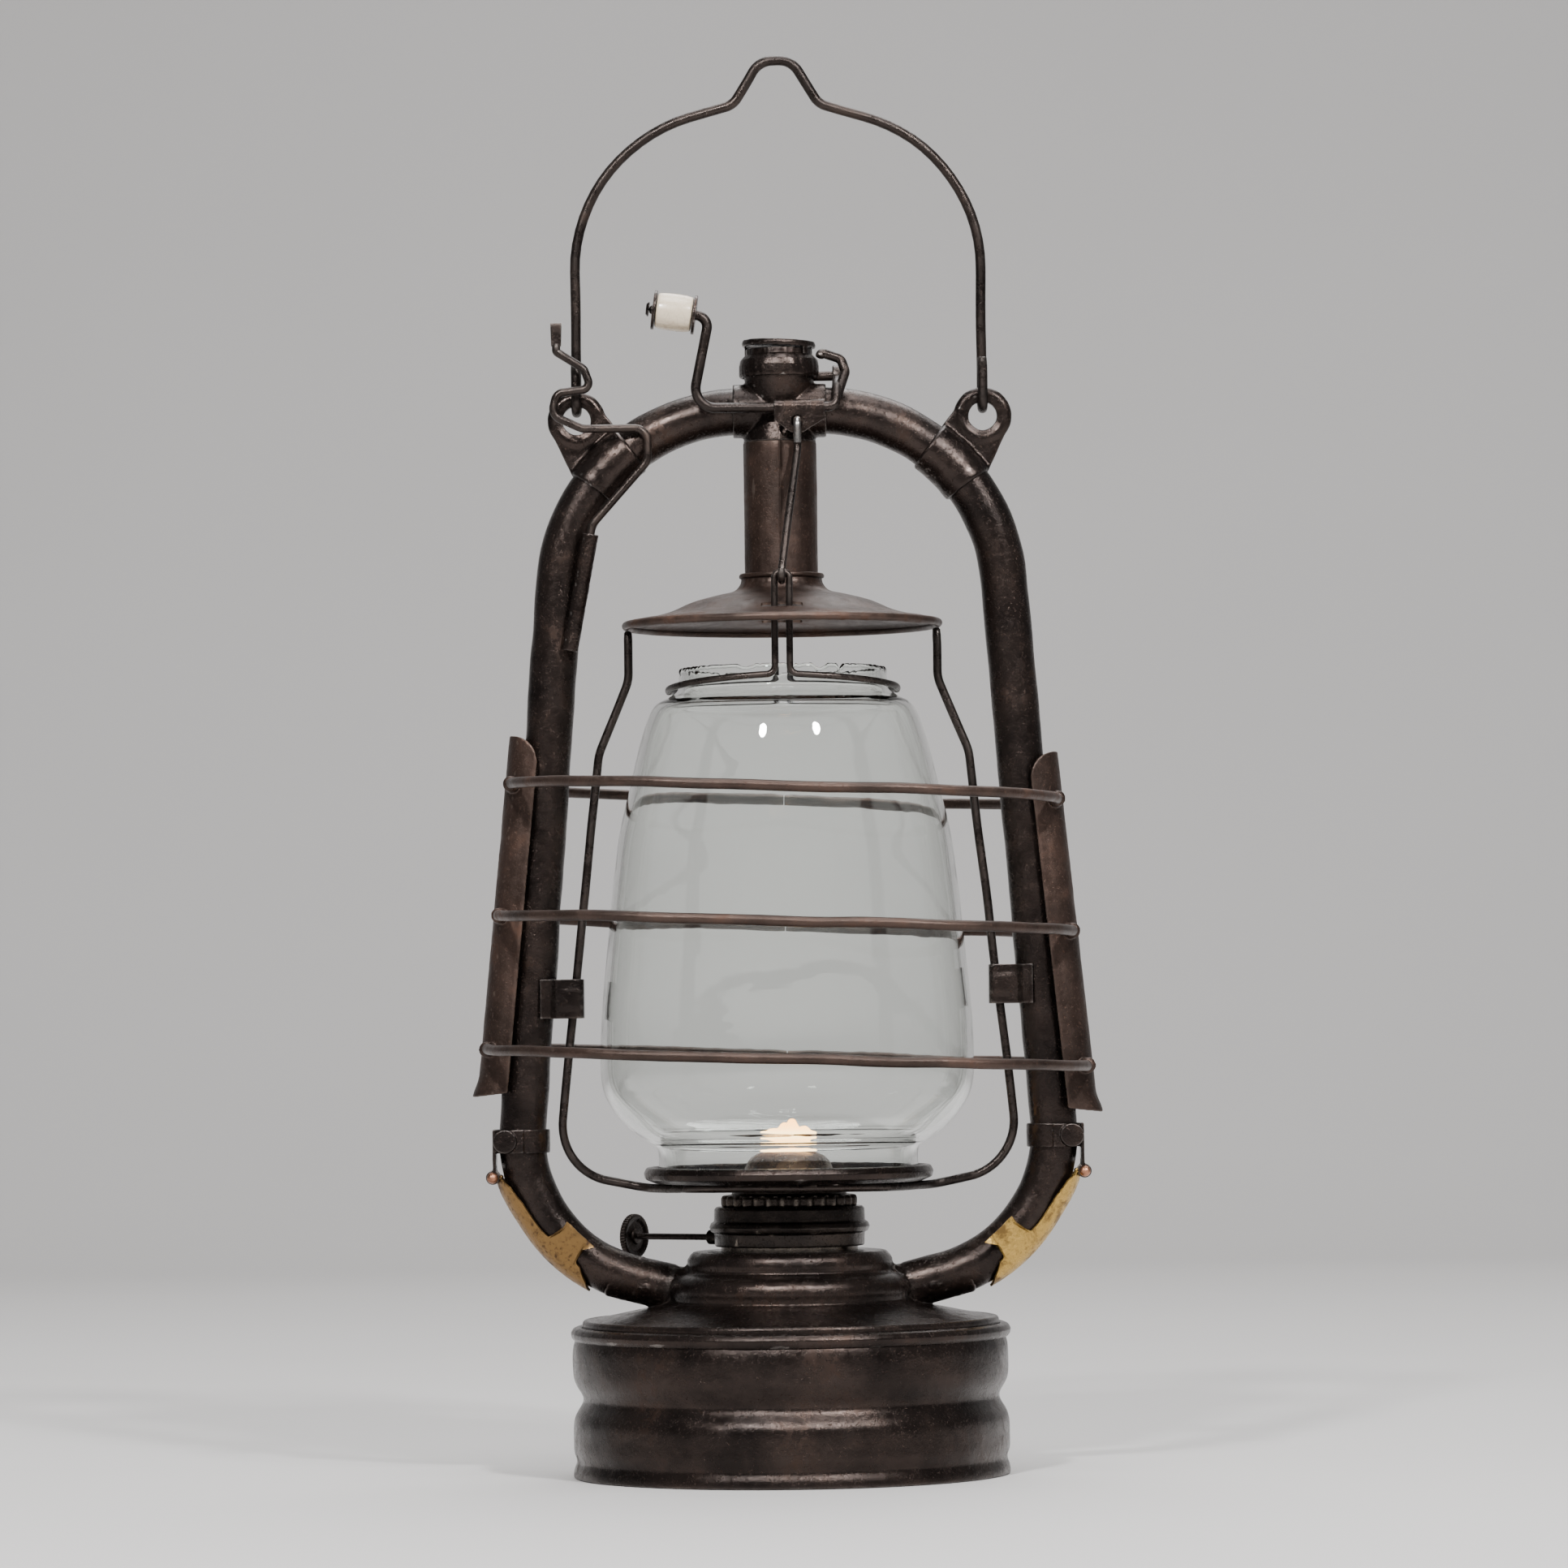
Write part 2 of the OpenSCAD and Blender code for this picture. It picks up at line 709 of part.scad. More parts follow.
module band() {
    difference() {
        union() {
            translate([79.6, 0, 97])
                tube(7, 8.3, tube_r + 0.45);
            translate([87.4, -5, 90])
                cube([1, 10, 14]);
            knuckle(-5, 10);
            translate([84.6, -8.9, 100.5])
                rotate([90, 0, 0])
                    cylinder(h = 0.7, r = 3.5);
            translate([79, -8.95, 97])
                cube([5.6, 0.75, 7]);
        }
        translate([79.6, 0, 96])
            cylinder(h = 9, r = tube_r + 0.45);
        knuckle(-8, 16, hinge_pin_r + running);
        translate([83, -2.1, 86])
            cube([8, 4.2, 7.2]);
    }
}
module band_left() color(steel) mirrored_x(true) band();
module band_right() color(steel) band();

module clip_pin() {
    knuckle(-6.4, 12.8, hinge_pin_r);
    for (y = [-6.6, 6.6])
        translate([hinge[0], y, hinge[1]])
            sphere(r = 1.7);
}
module clip_pin_left() color("#8a5a3a") mirrored_x(true) clip_pin();
module clip_pin_right() color("#8a5a3a") clip_pin();

// Sheet swept about the foot bend's centre from angle a to b; its section is the child
module swept(a, b) {
    translate([foot_centre[0], 0, foot_centre[1]])
        rotate([90, 0, 0])
            rotate(a)
                rotate_extrude(angle = b - a)
                    children();
}

module clip() {
    strap_r = foot_bend + tube_r + 0.35;
    difference() {
        union() {
            swept(clip_angles[0], -18)
                translate([strap_r, -4.5])
                    square([1, 9]);
            swept(clip_angles[0] + 1, clip_angles[1])
                difference() {
                    translate([foot_bend, 0])
                        section(tube_r + 1.25, tube_r + 0.35);
                    translate([foot_bend - 12 - 1.4, -10])
                        square([12, 20]);
                }
            swept(-18.5, -11)
                translate([strap_r + 0.1, -1.8])
                    square([0.8, 3.6]);
            translate([86, -1.8, hinge[1] - 0.5])
                cube([2.4, 3.6, 1]);
            knuckle(-1.8, 3.6);
        }
        knuckle(-5, 10, hinge_pin_r + running);
    }
}
module clip_left() color("#6a5130") mirrored_x(true) clip();
module clip_right() color(brass) clip();

// ---- Burner ----

// Burner's own frame: the wick's width and the shaft lie along X
module burner_frame() rotate(-burner_angle) children();

module burner_collar() color(steel) translate([0, 0, 64.6]) tube(3.6, 20.5, 18.6);

module burner_base() {
    color(steel)
        difference() {
            revolve([[18.4, 68.3], [22.4, 68.3], [22.4, 72.4], [23.6, 72.8], [24, 74], [23.6, 75.2],
                [22.5, 75.8], [22.5, 79.6], [22, 80], [17.4, 80], [17.4, 79], [21.4, 79],
                [21.4, 69.3], [18.4, 69.3]]);
            burner_frame()
                translate([-30, shaft_side, shaft_z])
                    rotate([0, 90, 0])
                        cylinder(h = 30, r = 2.2 + running);
        }
    color(steel)
        difference() {
            translate([0, 0, 68.3])
                cylinder(h = 1, r = 18.4);
            burner_frame()
                translate([-wick_w / 2 - 1.1, -2.3, 60])
                    cube([wick_w + 2.2, 4.6, 20]);
            burner_frame()
                translate([-7.4, shaft_side - 3.7, 66])
                    cube([15, 7.4, 4]);
            for (a = [0:30:330])
                rotate(a)
                    translate([13.5, 0, 67])
                        cylinder(h = 4, r = 1.5, $fn = 24);
        }
}

module burner_bush() {
    color(steel)
        burner_frame()
            translate([-25.6, shaft_side, shaft_z])
                rotate([0, 90, 0])
                    tube(5, 2.2, shaft_r + running);
}

module burner_gallery() {
    color(steel)
        difference() {
            union() {
                revolve([[0, 80.1], [19.4, 80.1], [19.4, 83.5], [17, 83.5], [17, 87.1], [0, 87.1]]);
                gallery_flutes();
            }
            translate([0, 0, 79])
                cylinder(h = 10, r = 16);
        }
}

module gallery_flutes() {
    for (a = [0:12:348])
        rotate(a)
            translate([19.3, 0, 80.5])
                cylinder(h = 2.6, r = 1.1, $fn = 24);
}

module air_screen() {
    color(steel)
        translate([0, 0, 80.2])
            difference() {
                cylinder(h = 0.8, r = 15.9);
                burner_frame()
                    translate([-wick_w / 2 - 1.1, -2.3, -1])
                        cube([wick_w + 2.2, 4.6, 4]);
                for (a = [0:20:340])
                    rotate(a)
                        translate([12.8, 0, -1])
                            cylinder(h = 4, r = 1, $fn = 20);
            }
}

module burner_cone() {
    outline = [[cone_r, 84], [cone_r, 88], [13.2, 91.2], [11.9, 94], [9.4, 96.3], [6, 97.5],
        [0.01, 97.9]];
    color("#8c7a62")
        difference() {
            union() {
                turned_shell(smooth(outline, 2), 0.8);
                translate([0, 0, 83.6])
                    tube(0.8, 15.9, 12.8);
            }
            burner_frame()
                translate([-wick_w / 2 - 0.8, -2.6, 90])
                    cube([wick_w + 1.6, 5.2, 12]);
        }
}

module wick_tube() {
    color(brass)
        burner_frame()
            difference() {
                translate([-wick_w / 2 - 1, -2.2, 62])
                    cube([wick_w + 2, 4.4, 30]);
                translate([-wick_w / 2 - 0.3, -1.3, 61])
                    cube([wick_w + 0.6, 2.6, 32]);
                translate([-wick_w / 2 + 0.4, -4, 66.6])
                    cube([wick_w - 0.8, 3.2, 8.4]);
            }
}

module wick() {
    color("#d8cdb8")
        burner_frame()
            translate([-wick_w / 2, -1, 14])
                cube([wick_w, 2, 82]);
}

module wick_shaft() {
    color(wire)
        burner_frame()
            translate([-knob_reach, shaft_side, shaft_z])
                rotate([0, 90, 0])
                    cylinder(h = knob_reach + 9, r = shaft_r);
}

module wick_sprockets() {
    color(brass)
        burner_frame()
            for (x = [-6.4, -2.4, 1.6, 5.6])
                translate([x, shaft_side, shaft_z])
                    rotate([0, 90, 0])
                        tube(0.9, 3.4, shaft_r);
}

module wick_knob() {
    color(wire)
        burner_frame()
            translate([-knob_reach, shaft_side, shaft_z])
                rotate([0, -90, 0]) {
                    cylinder(h = 2.2, r = 6.8);
                    translate([0, 0, 2.2])
                        cylinder(h = 0.6, r1 = 2.4, r2 = 1.8);
                }
}

// ---- Lamp tool ----

tool_path = [sheath_foot + 10 * unit(sheath_mouth - sheath_foot),
    sheath_mouth + 3 * unit(sheath_mouth - sheath_foot), [-39.6, -8.9, 303.4], [-39.6, -8.9, 313.2],
    [-59, -8.9, 313.2], [-68.2, -8.9, 317.4], [-66.6, -8.9, 324], [-56.2, -8.9, 325.2],
    [-58.4, -8.9, 331.2], [-66.6, -8.9, 336.4], [-66.6, -8.9, 338.4]];

module lamp_tool() {
    color(wire) {
        swept_wire(tool_path, [0, 4, 4.4, 4, 5, 3.4, 3, 2.2, 2.6, 1, 0], tool_r, 10);
        translate([-68.3, -9.5, 337.6])
            cube([3.4, 1.2, 7.6]);
    }
}

tank_body();
tank_bottom();
tank_seam();
tank_top();
filler_neck();
filler_cap();
filler_gasket();
left_tube();
right_tube();
crown();
chimney_tube();
chimney_collar();
chimney_lid();
left_ear();
right_ear();
left_guide();
right_guide();
tool_sheath();
bail();
lever_axle();
lever();
lever_eye();
grip_washers();
grip();
lift_link();
pull_rod();
holddown_front();
holddown_rear();
globe_frame();
globe_plate();
canopy();
globe();
guard_plate_left();
guard_plate_right();
hoop_top();
hoop_middle();
hoop_bottom();
band_left();
band_right();
clip_pin_left();
clip_pin_right();
clip_left();
clip_right();
burner_collar();
burner_base();
burner_bush();
burner_gallery();
air_screen();
burner_cone();
wick_tube();
wick();
wick_shaft();
wick_sprockets();
wick_knob();
lamp_tool();
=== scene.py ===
import json
import math

import bmesh
import bpy
import numpy as np
from mathutils import Matrix, Vector, noise


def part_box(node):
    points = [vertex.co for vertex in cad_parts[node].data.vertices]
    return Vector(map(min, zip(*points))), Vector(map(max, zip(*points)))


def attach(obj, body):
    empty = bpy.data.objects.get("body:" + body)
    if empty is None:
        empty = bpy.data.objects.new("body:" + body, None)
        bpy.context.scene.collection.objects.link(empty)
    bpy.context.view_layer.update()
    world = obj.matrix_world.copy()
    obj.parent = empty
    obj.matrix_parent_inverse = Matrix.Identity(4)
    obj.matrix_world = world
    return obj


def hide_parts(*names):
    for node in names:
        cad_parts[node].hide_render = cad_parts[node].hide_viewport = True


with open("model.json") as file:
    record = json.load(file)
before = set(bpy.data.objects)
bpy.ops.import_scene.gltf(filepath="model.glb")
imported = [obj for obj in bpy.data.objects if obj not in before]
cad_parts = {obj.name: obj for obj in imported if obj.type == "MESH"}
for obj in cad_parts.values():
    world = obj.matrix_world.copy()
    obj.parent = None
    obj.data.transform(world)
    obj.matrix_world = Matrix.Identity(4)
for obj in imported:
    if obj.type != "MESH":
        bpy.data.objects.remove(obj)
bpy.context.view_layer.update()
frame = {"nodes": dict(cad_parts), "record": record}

record = frame["record"]
BODY = {node: body for body, nodes in record["behaviour"]["bodies"].items() for node in nodes}
SLOT = {part["node"]: part["material_slot"] for part in record["subparts"]}

MM = 0.001
TAU = 2 * math.pi
WELD = 0.05

# Driving sizes, in millimetres, as in the CAD model
TUBE_R = 7.05
CROWN_Z = 318.6
CROWN_BEND = 55
FOOT_BEND = 44
TUBE_PATH = [(9, 0, CROWN_Z), (62.7, 0, CROWN_Z), (82.3, 0, 67.8), (33, 0, 55.5)]
TANK_R = 65.2
SEAM_Z = 43
EAR = (61, 0, 322.6)
HINGE = (88.4, 0, 89.7)
HOOP_Z = (124.7, 164.6, 203.8)
HOOP_R = 1.6
HOOP_TILT = math.radians(2.2)
HOOP_DEPTH = 72
BURNER_TURN = math.radians(-33)
SHAFT_SIDE = -4.7
SHAFT_Z = 70.8
KNOB_REACH = 51.9
WICK_W = 17
WICK_TOP = 96
WICK_FOOT = 14.3
BAIL_TOP = 424.5
BAIL_HOOK_R = 3.8
AXLE_Z = 329
CRANK_Y = -13
CRANK_TIP = (-38.6, CRANK_Y, 348.4)
CRANK_ELBOW = (-20.6, CRANK_Y, 345.9)
TOOL_Y = -8.9
GUARD_EDGE = 83.6
HOOP_SEAT = 2.2
HOOP_BEND = 58
SIDES = ((-1, "left"), (1, "right"))

# noise_vector takes its offsets from a random state that otherwise starts from the clock
SWAY_SEED = 1
noise.seed_set(SWAY_SEED)


# ---- Points, profiles and sweeps ----

def unit(v):
    return Vector(v).normalized()


def outward(t):
    """Unit vector away from the Z axis at angle t."""
    return Vector((math.cos(t), math.sin(t), 0))


def smoothstep(a, b, x):
    t = min(1, max(0, (x - a) / (b - a)))
    return t * t * (3 - 2 * t)


def flip(p):
    return Vector((-p[0], p[1], p[2]))


def mirrored(path):
    """A symmetric path from its left half's copy and the right half."""
    return [Vector(p) for p in path] + [flip(p) for p in reversed(path)]


def there_and_back(values):
    return list(values) + list(reversed(values))


def catmull(points, steps):
    """An open line through the points, with steps stretches between two of them."""
    pts = [Vector(p) for p in points]
    line = []
    for i in range(len(pts) - 1):
        a, b, c, d = pts[max(i - 1, 0)], pts[i], pts[i + 1], pts[min(i + 2, len(pts) - 1)]
        for k in range(steps):
            t = k / steps
            line.append((2 * b + (c - a) * t + (2 * a - 5 * b + 4 * c - d) * t * t
                         + (3 * b - a - 3 * c + d) * t ** 3) / 2)
    return line + [pts[-1]]


def rounded(points, radius, steps=4, closed=True):
    """The polygon with its corners turned into arcs of up to that radius."""
    pts = [Vector(p) for p in points]
    count = len(pts)
    line = []
    for i, p in enumerate(pts):
        if not closed and i in (0, count - 1):
            line.append(p)
            continue
        a, b = pts[i - 1], pts[(i + 1) % count]
        u, v = (a - p).normalized(), (b - p).normalized()
        half = math.acos(max(-1, min(1, u.dot(v)))) / 2
        if half > 1.5 or half < 0.05:
            line.append(p)
            continue
        reach = min(radius / math.tan(half), 0.45 * (a - p).length, 0.45 * (b - p).length)
        r = reach * math.tan(half)
        centre = p + (u + v).normalized() * r / math.sin(half)
        start, end = p + u * reach - centre, p + v * reach - centre
        for k in range(steps + 1):
            w = start.slerp(end, k / steps) if start.length > 1e-6 else start
            line.append(centre + w.normalized() * r)
    return line


def resampled(points, step):
    """The open line with extra points so that none is further than step from the next."""
    line = [points[0]]
    for a, b in zip(points, points[1:]):
        count = max(1, math.ceil((b - a).length / step))
        line += [a.lerp(b, (k + 1) / count) for k in range(count)]
    return line


def shell(outline, thickness):
    """Closed profile of a sheet on the inner side of an upward outline, with round edges."""
    pts = [Vector(p) for p in outline]
    last = len(pts) - 1
    ways = [(pts[min(i + 1, last)] - pts[max(i - 1, 0)]).normalized() for i in range(last + 1)]
    inner = [Vector((max(0.02, p.x - thickness * w.y), p.y + thickness * w.x))
             for p, w in zip(pts, ways)]

    def cap(a, b, way):
        middle = (a + b) / 2
        half = a - middle
        return [middle + half * math.cos(t) + way * half.length * math.sin(t)
                for t in (math.pi * k / 5 for k in range(1, 5))]

    return (pts + cap(pts[-1], inner[-1], ways[-1]) + inner[::-1]
            + cap(inner[0], pts[0], -ways[0]))


def along(point, way):
    """Matrix that sets Z along way at point."""
    w = unit(way)
    u = (Vector((0, 0, 1)) if abs(w.z) < 0.9 else Vector((1, 0, 0))).cross(w).normalized()
    v = w.cross(u)
    m = Matrix((u, v, w)).transposed().to_4x4()
    m.translation = Vector(point)
    return m


def stations(path, bends, step, run):
    """Points and directions along a path with round bends."""
    pts = [Vector(p) for p in path]
    line = []

    def straight(a, b):
        if (b - a).length < 0.02:
            return
        count = max(1, math.ceil((b - a).length / run))
        way = (b - a).normalized()
        line.extend((a.lerp(b, k / count), way) for k in range(count + 1))

    at = pts[0]
    for i in range(1, len(pts) - 1):
        a, b, c = pts[i - 1], pts[i], pts[i + 1]
        u, on = (b - a).normalized(), (c - b).normalized()
        angle = u.angle(on)
        if angle < 1e-3 or bends[i] == 0:
            straight(at, b)
            at = b
            continue
        n = u.cross(on).normalized()
        side = n.cross(u)
        o = b - u * bends[i] * math.tan(angle / 2) + side * bends[i]
        straight(at, o - bends[i] * side)
        count = max(2, math.ceil(angle / math.radians(step)))
        for k in range(count + 1):
            t = angle * k / count
            line.append((o + bends[i] * (u * math.sin(t) - side * math.cos(t)),
                         u * math.cos(t) + side * math.sin(t)))
        at = line[-1][0]
    straight(at, pts[-1])
    kept = [line[0]]
    for s in line[1:]:
        if (s[0] - kept[-1][0]).length > 0.05:
            kept.append(s)
    return kept


def grid_faces(rows, cols, around, first=0):
    """Quads over rows of points; around closes each row on itself."""
    faces = []
    for i in range(rows - 1):
        for k in range(cols if around else cols - 1):
            a = first + i * cols + k
            b = first + i * cols + (k + 1) % cols
            faces.append((a, b, b + cols, a + cols))
    return faces


def in_scene(name, data):
    obj = bpy.data.objects.new(name, data)
    bpy.context.scene.collection.objects.link(obj)
    return obj


def shaded(obj, sharp=40):
    """Smooth shading, with the edges of over sharp degrees kept."""
    obj.data.shade_smooth()
    obj.data.set_sharp_from_angle(angle=math.radians(sharp))
    return obj


def reflected(obj):
    """obj turned into its own mirror image across x = 0."""
    obj.data.transform(Matrix.Scale(-1, 4, (1, 0, 0)))
    obj.data.flip_normals()
    return obj


def solid(name, points, faces, merge=0.0):
    """A mesh object from points in millimetres, with its normals outward."""
    data = bpy.data.meshes.new(name)
    data.from_pydata([tuple(Vector(p) * MM) for p in points], [], faces)
    bm = bmesh.new()
    bm.from_mesh(data)
    if merge:
        bmesh.ops.remove_doubles(bm, verts=bm.verts, dist=merge * MM)
    bmesh.ops.recalc_face_normals(bm, faces=bm.faces)
    bm.to_mesh(data)
    bm.free()
    return shaded(in_scene(name, data))


def prism(name, low, high):
    """The solid between two matching rings of points."""
    count = len(low)
    ends = [tuple(range(count)), tuple(range(2 * count - 1, count - 1, -1))]
    return solid(name, low + high, grid_faces(2, count, True) + ends)


def lathe(name, profile, count=160, shape=None, at=None, span=TAU):
    """A closed profile of (radius, height) turned about Z, then placed by the matrix at."""
    around = span == TAU
    rows = count if around else count + 1
    points = []
    for i in range(rows):
        t = span * i / count - (0 if around else span / 2)
        for p in profile:
            q = Vector((p[0] * math.cos(t), p[0] * math.sin(t), p[1]))
            points.append(shape(q, t) if shape else q)
    cols = len(profile)
    faces = []
    for i in range(count):
        j = (i + 1) % rows
        for k in range(cols):
            m = (k + 1) % cols
            faces.append((i * cols + k, j * cols + k, j * cols + m, i * cols + m))
    if not around:
        faces += [tuple(range(cols)), tuple(count * cols + k for k in reversed(range(cols)))]
    if at:
        points = [at @ p for p in points]
    return solid(name, points, faces, WELD)


def sweep(name, path, bends, r, sides=20, step=6, run=3, sway=0.12, ends=0.8, swell=None):
    """Round wire along a path, slightly uneven as if bent by hand, with rounded ends."""
    line = stations(path, bends, step, run)
    n = (Vector((0, 0, 1)) if abs(line[0][1].z) < 0.9 else Vector((1, 0, 0)))
    n = n.cross(line[0][1]).normalized()
    rings = []
    length = 0
    last = line[0][0]
    total = sum((b[0] - a[0]).length for a, b in zip(line, line[1:]))
    for p, way in line:
        n = (n - way * n.dot(way)).normalized()
        length += (p - last).length
        last = p
        fade = smoothstep(0, 6, min(length, total - length))
        off = noise.noise_vector(p * 0.045) * sway * fade
        thick = r * (1 + 0.03 * noise.noise(p * 0.11 + Vector((9, 4, 1)))) if sway else r
        rings.append((p + off - way * off.dot(way), way, n.copy(), thick))
    cap = [(1, 0), (0.9, 0.45), (0.6, 0.85), (0.02, 1)]
    first, final = rings[0], rings[-1]
    starts = [(first[0] - first[1] * r * ends * (k - 1), first[1], first[2], first[3] * f)
              for f, k in reversed(cap[1:])]
    finals = [(final[0] + final[1] * r * ends * (k - 1), final[1], final[2], final[3] * f)
              for f, k in cap[1:]]
    trim = r * ends
    middle = [q for q in rings
              if (q[0] - first[0]).length > trim and (q[0] - final[0]).length > trim]
    rings = starts + middle + finals
    points = []
    for p, way, m, thick in rings:
        for k in range(sides):
            t = TAU * k / sides
            out = m * math.cos(t) + way.cross(m) * math.sin(t)
            points.append(p + out * (thick * (swell(p, out) if swell else 1)))
    faces = grid_faces(len(rings), sides, True)
    faces += [tuple(range(sides)), tuple(range(len(points) - 1, len(points) - 1 - sides, -1))]
    return solid(name, points, faces)


def applied(obj, *settings):
    """Adds the modifiers, each (type, {property: value}), and bakes them into the mesh."""
    for i, (kind, values) in enumerate(settings):
        modifier = obj.modifiers.new(f"m{i}", kind)
        for key, value in values.items():
            setattr(modifier, key, value)
    bpy.context.view_layer.update()
    graph = bpy.context.evaluated_depsgraph_get()
    data = bpy.data.meshes.new_from_object(obj.evaluated_get(graph))
    obj.modifiers.clear()
    old = obj.data
    obj.data = data
    bpy.data.meshes.remove(old)
    return obj


def cut(obj, *cutters):
    """obj without the cutters, which are used up."""
    applied(obj, *(("BOOLEAN", {"operation": "DIFFERENCE", "solver": "EXACT", "object": c})
                   for c in cutters))
    for c in cutters:
        bpy.data.objects.remove(c)
    return shaded(obj)


def joined(name, objects):
    """One object from several, which are used up."""
    bm = bmesh.new()
    for o in objects:
        bm.from_mesh(o.data)
    data = bpy.data.meshes.new(name)
    bm.to_mesh(data)
    bm.free()
    for o in objects:
        bpy.data.objects.remove(o)
    return shaded(in_scene(name, data))


def moved(obj, change):
    """Moves each vertex, in millimetres, by change(point, normal)."""
    shifts = [change(v.co / MM, v.normal) * MM for v in obj.data.vertices]
    for v, shift in zip(obj.data.vertices, shifts):
        v.co += shift
    obj.data.update()
    return obj


def fused(obj, voxel, rounds, lumps=0.0):
    """The object's skin remade in small even faces, with its corners and joints softened."""
    settings = [("REMESH", {"mode": "VOXEL", "voxel_size": voxel * MM, "use_smooth_shade": True}),
                ("SMOOTH", {"factor": 0.5, "iterations": rounds})]
    applied(obj, *settings)
    if lumps:
        moved(obj, lambda p, n: n * (lumps * noise.noise(p * 0.35)
                                     + 0.5 * lumps * noise.noise(p * 1.1)))
    obj.data.shade_smooth()
    return obj


def softened(name, node, voxel=0.3, rounds=4, lumps=0.0):
    """A CAD node's shape with the softened edges of pressed and soldered sheet."""
    obj = in_scene(name, frame["nodes"][node].data.copy())
    bm = bmesh.new()
    bm.from_mesh(obj.data)
    bmesh.ops.remove_doubles(bm, verts=bm.verts, dist=1e-6)
    bm.to_mesh(obj.data)
    bm.free()
    return fused(obj, voxel, rounds, lumps)


def sheet_solid(name, grid, thickness, bevel=0.16):
    """Sheet metal of even thickness over a grid of points."""
    faces = grid_faces(len(grid), len(grid[0]), False)
    obj = solid(name, [p for row in grid for p in row], faces)
    applied(obj,
            ("SOLIDIFY", {"thickness": thickness * MM, "offset": 0.0, "use_even_offset": True}),
            ("BEVEL", {"width": bevel * MM, "segments": 2, "angle_limit": math.radians(50)}))
    return shaded(obj, 60)


def dents(size, depth, seed):
    """A shape for lathe that pushes the wall in and out a little."""
    def shape(p, t):
        way = outward(t)
        q = Vector((way.x, way.y, p.z / 60)) * (60 / size) + Vector((seed, 0, seed))
        return p + way * depth * (noise.noise(q) + 0.4 * noise.noise(q * 2.7))
    return shape


# ---- Materials ----

class Look:
    """Builds one material around its Principled shader."""

    def __init__(self, name):
        self.mat = bpy.data.materials.new(name)
        self.mat.use_nodes = True
        self.tree = self.mat.node_tree
        self.shader = self.tree.nodes["Principled BSDF"]
        self.where = self.tree.nodes.new("ShaderNodeTexCoord").outputs["Object"]

    def put(self, socket, value):
        if isinstance(value, bpy.types.NodeSocket):
            self.tree.links.new(value, socket)
        elif isinstance(value, tuple) and socket.type == "RGBA":
            socket.default_value = (*value, 1)
        else:
            socket.default_value = value

    def set(self, **values):
        for name, value in values.items():
            self.put(self.shader.inputs[name.replace("_", " ")], value)

    def noise(self, scale, detail=5, rough=0.6, stretch=(1, 1, 1), twist=0.0):
        mapping = self.tree.nodes.new("ShaderNodeMapping")
        self.put(mapping.inputs["Vector"], self.where)
        mapping.inputs["Scale"].default_value = stretch
        node = self.tree.nodes.new("ShaderNodeTexNoise")
        self.put(node.inputs["Vector"], mapping.outputs[0])
        for key, value in (("Scale", scale), ("Detail", detail), ("Roughness", rough),
                           ("Distortion", twist)):
            node.inputs[key].default_value = value
        return node.outputs[0]

    def span(self, value, low, high, to_low=0.0, to_high=1.0):
        node = self.tree.nodes.new("ShaderNodeMapRange")
        node.interpolation_type = "SMOOTHSTEP"
        for key, v in zip(("Value", "From Min", "From Max", "To Min", "To Max"),
                          (value, low, high, to_low, to_high)):
            self.put(node.inputs[key], v)
        return node.outputs[0]

    def mix(self, share, a, b):
        node = self.tree.nodes.new("ShaderNodeMix")
        node.data_type = "RGBA"
        for index, value in ((0, share), (6, a), (7, b)):
            self.put(node.inputs[index], value)
        return node.outputs[2]

    def sum(self, operation, a, b):
        node = self.tree.nodes.new("ShaderNodeMath")
        node.operation = operation
        self.put(node.inputs[0], a)
        self.put(node.inputs[1], b)
        return node.outputs[0]

    def edges(self):
        """1 on outer edges, 0 elsewhere."""
        node = self.tree.nodes.new("ShaderNodeNewGeometry")
        return self.span(node.outputs["Pointiness"], 0.515, 0.57)

    def bump(self, height, depth):
        """Relief of depth millimetres."""
        node = self.tree.nodes.new("ShaderNodeBump")
        node.inputs["Strength"].default_value = 1.0
        node.inputs["Distance"].default_value = depth * MM
        self.put(node.inputs["Height"], height)
        self.put(self.shader.inputs["Normal"], node.outputs[0])


def worn_metal(name, dark, light, worn, rust, rust_share, rough=(0.3, 0.5), wear=0.5,
               metallic=0.85):
    """Old sheet or wire: clouded patina, rust freckles, rubbed edges and a pitted skin."""
    look = Look(name)
    cloud = look.noise(38, 6, 0.62, twist=0.4)
    grime = look.noise(210, 9, 0.72, twist=0.2)
    freckle = look.noise(1300, 4, 0.65)
    colour = look.mix(look.span(cloud, 0.36, 0.66), dark, light)
    patch = look.sum("MULTIPLY", look.span(cloud, 0.5, 0.72), look.span(grime, 0.45, 0.6))
    freckles = look.span(freckle, 0.58, 0.68)
    stain = look.sum("MULTIPLY", look.sum("MAXIMUM", patch, look.sum("MULTIPLY", freckles, 0.6)),
                     rust_share)
    colour = look.mix(stain, colour, rust)
    rubbed = look.sum("MULTIPLY", look.edges(), look.span(grime, 0.32, 0.56))
    rubbed = look.sum("MULTIPLY", rubbed, wear)
    colour = look.mix(rubbed, colour, worn)
    base = look.span(grime, 0.35, 0.7, *rough)
    dull = look.span(stain, 0.0, 0.8, 0.0, 0.25)
    look.set(Base_Color=colour, Metallic=metallic, Roughness=look.sum("ADD", base, dull))
    skin = look.sum("ADD", look.span(grime, 0.3, 0.75), look.sum("MULTIPLY", freckles, -0.7))
    look.bump(skin, 0.07)
    return look.mat


